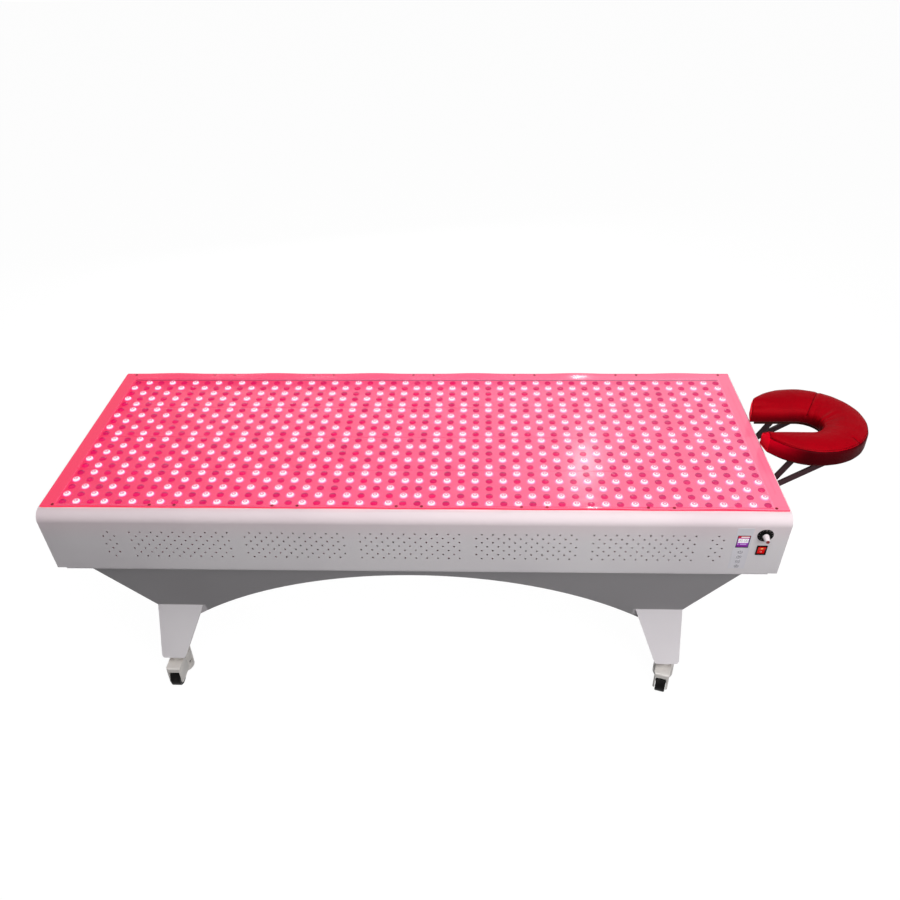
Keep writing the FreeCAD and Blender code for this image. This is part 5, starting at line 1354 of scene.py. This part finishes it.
class BED_OT_controls(bpy.types.Operator):
    """Film, screen, buttons, knob and rocker with their marks"""

    bl_idname = "bed.controls"
    bl_label = "Controls"

    def execute(self, context):
        colours = context.scene.bed_colours
        thickness = context.scene.bed_sizes.print_thickness
        plastics = (
            ("overlay_film", colours.overlay, 1.0, 0.93, 0.4),
            ("button_film", colours.overlay, 0.96, 0.88, 0.38),
            ("knob_white", colours.knob_white, 1.0, 0.9, 0.3),
            ("cap_red", colours.cap_red, 1.0, 0.75, 0.3),
        )
        for slot, tint, light, dark, roughness in plastics:
            dress(slot, plastic_finish(slot, shaded(tint, light), shaded(tint, dark), roughness))
        dress("screen", screen_finish())
        dress("black_plastic", dial_plate_finish(colours))
        dress("rocker_red", rocker_finish(colours))
        grey = plastic_finish("print_grey", colours.print_grey, shaded(colours.print_grey, 0.85), 0.5)
        pale = plastic_finish("print_pale", (0.75, 0.62, 0.62), (0.66, 0.52, 0.52), 0.5)
        self.add_button_marks(grey, thickness)
        self.add_readout(grey, thickness)
        self.add_dial_marks(pale, thickness)
        self.add_rocker_marks(pale, thickness)
        return {"FINISHED"}

    def add_button_marks(self, material, thickness):
        """A ring on each button with a clock, plus, minus and power symbol."""
        for node, bars in BUTTON_BARS.items():
            low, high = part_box(node)
            middle = (low + high) / 2
            mark = Print(node, middle.x, middle.z, thickness)
            mark.arc(0.0055, 0.0006)
            if node == POWER_BUTTON:
                mark.arc(0.0026, 0.0008, 125, 415, steps=24)
            for bar in bars:
                mark.bar(*bar)
            mark.piece(node + "_mark", material, node, "button_film")

    def add_readout(self, material, thickness):
        """Minutes and seconds in the white box of the screen."""
        low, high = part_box("display_screen")
        mark = Print("display_screen", (low.x + high.x) / 2, low.z + (high.z - low.z) * 0.57, thickness / 2)
        for segments, across in READOUT:
            self.add_digit(mark, segments, across)
        mark.bar(0, COLON_UP, DIGIT_THICK, DIGIT_THICK)
        mark.bar(0, -COLON_UP, DIGIT_THICK, DIGIT_THICK)
        mark.piece("screen_readout", material, "bed", "screen")

    def add_digit(self, mark, segments, across):
        """One seven-segment digit, segments named a to g from the top round to the middle."""
        half, side = DIGIT_TALL / 2, DIGIT_WIDE / 2
        level = (DIGIT_WIDE - DIGIT_THICK, DIGIT_THICK)
        upright = (DIGIT_THICK, half - DIGIT_THICK)
        bars = {
            "a": (across, half, *level),
            "b": (across + side, half / 2, *upright),
            "c": (across + side, -half / 2, *upright),
            "d": (across, -half, *level),
            "e": (across - side, -half / 2, *upright),
            "f": (across - side, half / 2, *upright),
            "g": (across, 0, *level),
        }
        for name in segments:
            mark.bar(*bars[name])

    def add_dial_marks(self, material, thickness):
        """A notch at the top of the dial plate and short ticks round it."""
        mark = Print("dial_plate", DIAL_X, DIAL_Z + DIAL_REACH, thickness)
        mark.bar(0, 0.0012, 0.0011, 0.0034)
        for degrees in (240, 210, 180, 150, 120, 60, 30, 0, -30, -60):
            angle = math.radians(degrees)
            start, end = ((reach * math.cos(angle), reach * math.sin(angle) - DIAL_REACH)
                          for reach in TICK_ENDS)
            mark.stroke(start, end, 0.0005)
        mark.piece("dial_marks", material, "bed", "black_plastic")

    def add_rocker_marks(self, material, thickness):
        """A bar and a ring for on and off."""
        low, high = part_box("rocker")
        x = (low.x + high.x) / 2
        on = Print("rocker", x, low.z + (high.z - low.z) * 0.76, thickness)
        on.bar(0, 0, 0.0007, 0.0042)
        on.piece("rocker_on_mark", material, "rocker", "rocker_red")
        off = Print("rocker", x, low.z + (high.z - low.z) * 0.24, thickness)
        off.arc(0.0021, 0.0007)
        off.piece("rocker_off_mark", material, "rocker", "rocker_red")


class BED_OT_casters(bpy.types.Operator):
    """Finish of the levelling casters"""

    bl_idname = "bed.casters"
    bl_label = "Casters"

    def execute(self, context):
        colours = context.scene.bed_colours
        dress("caster_ivory", plastic_finish("caster_ivory", colours.ivory, shaded(colours.ivory, 0.82), 0.3))
        dress("black_nylon", wheel_finish(colours))
        dress("level_dial", level_dial_finish(colours))
        rubber = plastic_finish("pad_rubber", shaded(colours.black, 1.4), colours.black, 0.6, 260, 0.3)
        dress("pad_rubber", rubber)
        zinc = metal_finish("yellow_zinc", colours.yellow_zinc, shaded(colours.yellow_zinc, 0.6), 0.28)
        dress("yellow_zinc", zinc)
        return {"FINISHED"}


class BED_OT_headrest_frame(bpy.types.Operator):
    """Finish of the headrest's posts, bars and platform"""

    bl_idname = "bed.headrest_frame"
    bl_label = "Headrest frame"

    def execute(self, context):
        colours = context.scene.bed_colours
        brown = colours.brown_paint
        dress("bar_brown", plastic_finish("bar_brown", brown, shaded(brown, 0.72), 0.42, 480, 0.2, 0.15))
        dress("board_brown", wood_finish(colours))
        steel = metal_finish("post_metal", (0.56, 0.55, 0.55), (0.42, 0.41, 0.41), 0.26, (0.1, 1, 1))
        dress("post_metal", steel)
        return {"FINISHED"}


class BED_OT_cushion(bpy.types.Operator):
    """Leather horseshoe cushion with its seams and stitches"""

    bl_idname = "bed.cushion"
    bl_label = "Headrest cushion"

    def execute(self, context):
        colours = context.scene.bed_colours
        sizes = context.scene.bed_sizes
        tint, shade, lit = colours.leather, colours.leather_dark, colours.leather_lit
        top = leather_finish("red_leather", tint, shade, lit, 0.0)
        # Painted shade: the side band is a darker copy of the leather for the shade on it.
        side = leather_finish("band_leather_painted_shade", shade, shaded(shade, 0.6), lit, 0.7)
        # Painted light: the ends are a lit copy of the leather, glowing with the field's red light.
        end = leather_finish("end_leather_painted_light", tint, shaded(tint, 0.7), lit, 1.0)
        thread = thread_finish(colours)
        dress("red_leather", top)
        points, faces, kinds, held, seams = cushion_mesh(sizes)
        cushion = add_piece("face_cushion", (points, faces), [top, side, end], "headrest_top")
        cushion.data.polygons.foreach_set("material_index", kinds)
        fill_cushion(cushion, held, sizes.cushion_swell)
        lines = [np.array([cushion.data.vertices[index].co for index in line]) for line in seams]
        smoothed(cushion)
        shape_leather(cushion, [resampled(line, 0.003) for line in lines], sizes)
        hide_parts("headrest_cushion")
        tree = surface_tree(cushion.data)
        self.add_seams(tree, lines + self.hems(), thread, sizes)
        self.add_stitches(tree, lines[0], thread, sizes)
        return {"FINISHED"}

    def hems(self):
        """Lines low on the two ends, where the bottom cloth is sewn on."""
        lines = []
        for inner, outer in (cushion_stations()[0], cushion_stations()[-1]):
            ends = [inner.lerp(outer, share) for share in (0.06, 0.94)]
            lines.append(np.array([(flat.x, flat.y, CUSHION_BASE + HEM_HEIGHT) for flat in ends]))
        return lines

    def add_seams(self, tree, lines, thread, sizes):
        """A thread that lies in each seam."""
        parts = []
        for line in lines:
            path = [tree.find_nearest(Vector(point))[0] for point in resampled(line, 0.004)]
            parts.append(tube(path, sizes.thread_radius, 6))
        add_piece("cushion_seams", joined(parts), [thread], "headrest_top")

    def add_stitches(self, tree, rim, thread, sizes):
        """Short top stitches beside the rim seam, on the top panel."""
        upward = Vector((0, 0, 1))
        parts = []
        path = [Vector(point) for point in resampled(rim, sizes.stitch_length * 1.5)]
        for start, after in zip(path, path[1:]):
            along = after - start
            aside = upward.cross(along).normalized() * 0.0042 + upward * 0.003
            held = [tree.find_nearest(start + along * share + aside)[0] for share in (0.0, 0.33, 0.67)]
            parts.append(tube(held, sizes.thread_radius * 0.7, 5))
        add_piece("cushion_stitches", joined(parts), [thread], "headrest_top")


class BED_OT_works(bpy.types.Operator):
    """Finish of what is inside the cabinet"""

    bl_idname = "bed.works"
    bl_label = "Inner works"

    def execute(self, context):
        colours = context.scene.bed_colours
        dress("circuit_green", circuit_finish())
        dress("plain_metal", metal_finish("plain_metal", (0.62, 0.63, 0.64), (0.5, 0.5, 0.52), 0.34))
        dress("wire_sleeve", sleeve_finish(colours))
        return {"FINISHED"}


class BED_PT_sidebar(bpy.types.Panel):
    """Lists the steps that dress the bed, with its colours and sizes"""

    bl_idname = "BED_PT_sidebar"
    bl_label = "Red light therapy bed"
    bl_space_type = "VIEW_3D"
    bl_region_type = "UI"
    bl_category = "Bed"

    def draw(self, context):
        layout = self.layout
        for step in STEPS:
            layout.operator(step.bl_idname)
        for group in (context.scene.bed_sizes, context.scene.bed_colours):
            for name in group.__annotations__:
                layout.prop(group, name)


STEPS = (BED_OT_stage, BED_OT_cabinet, BED_OT_light_field, BED_OT_cover, BED_OT_controls,
         BED_OT_casters, BED_OT_headrest_frame, BED_OT_cushion, BED_OT_works)
CLASSES = (BedColours, BedSizes, *STEPS, BED_PT_sidebar)


def register():
    for item in CLASSES:
        bpy.utils.register_class(item)
    bpy.types.Scene.bed_colours = bpy.props.PointerProperty(type=BedColours)
    bpy.types.Scene.bed_sizes = bpy.props.PointerProperty(type=BedSizes)


def unregister():
    del bpy.types.Scene.bed_sizes
    del bpy.types.Scene.bed_colours
    for item in reversed(CLASSES):
        bpy.utils.unregister_class(item)


def main():
    register()
    bpy.ops.bed.stage()
    bpy.ops.bed.cabinet()
    bpy.ops.bed.light_field()
    bpy.ops.bed.cover()
    bpy.ops.bed.controls()
    bpy.ops.bed.casters()
    bpy.ops.bed.headrest_frame()
    bpy.ops.bed.cushion()
    bpy.ops.bed.works()


if __name__ == "__main__":
    main()
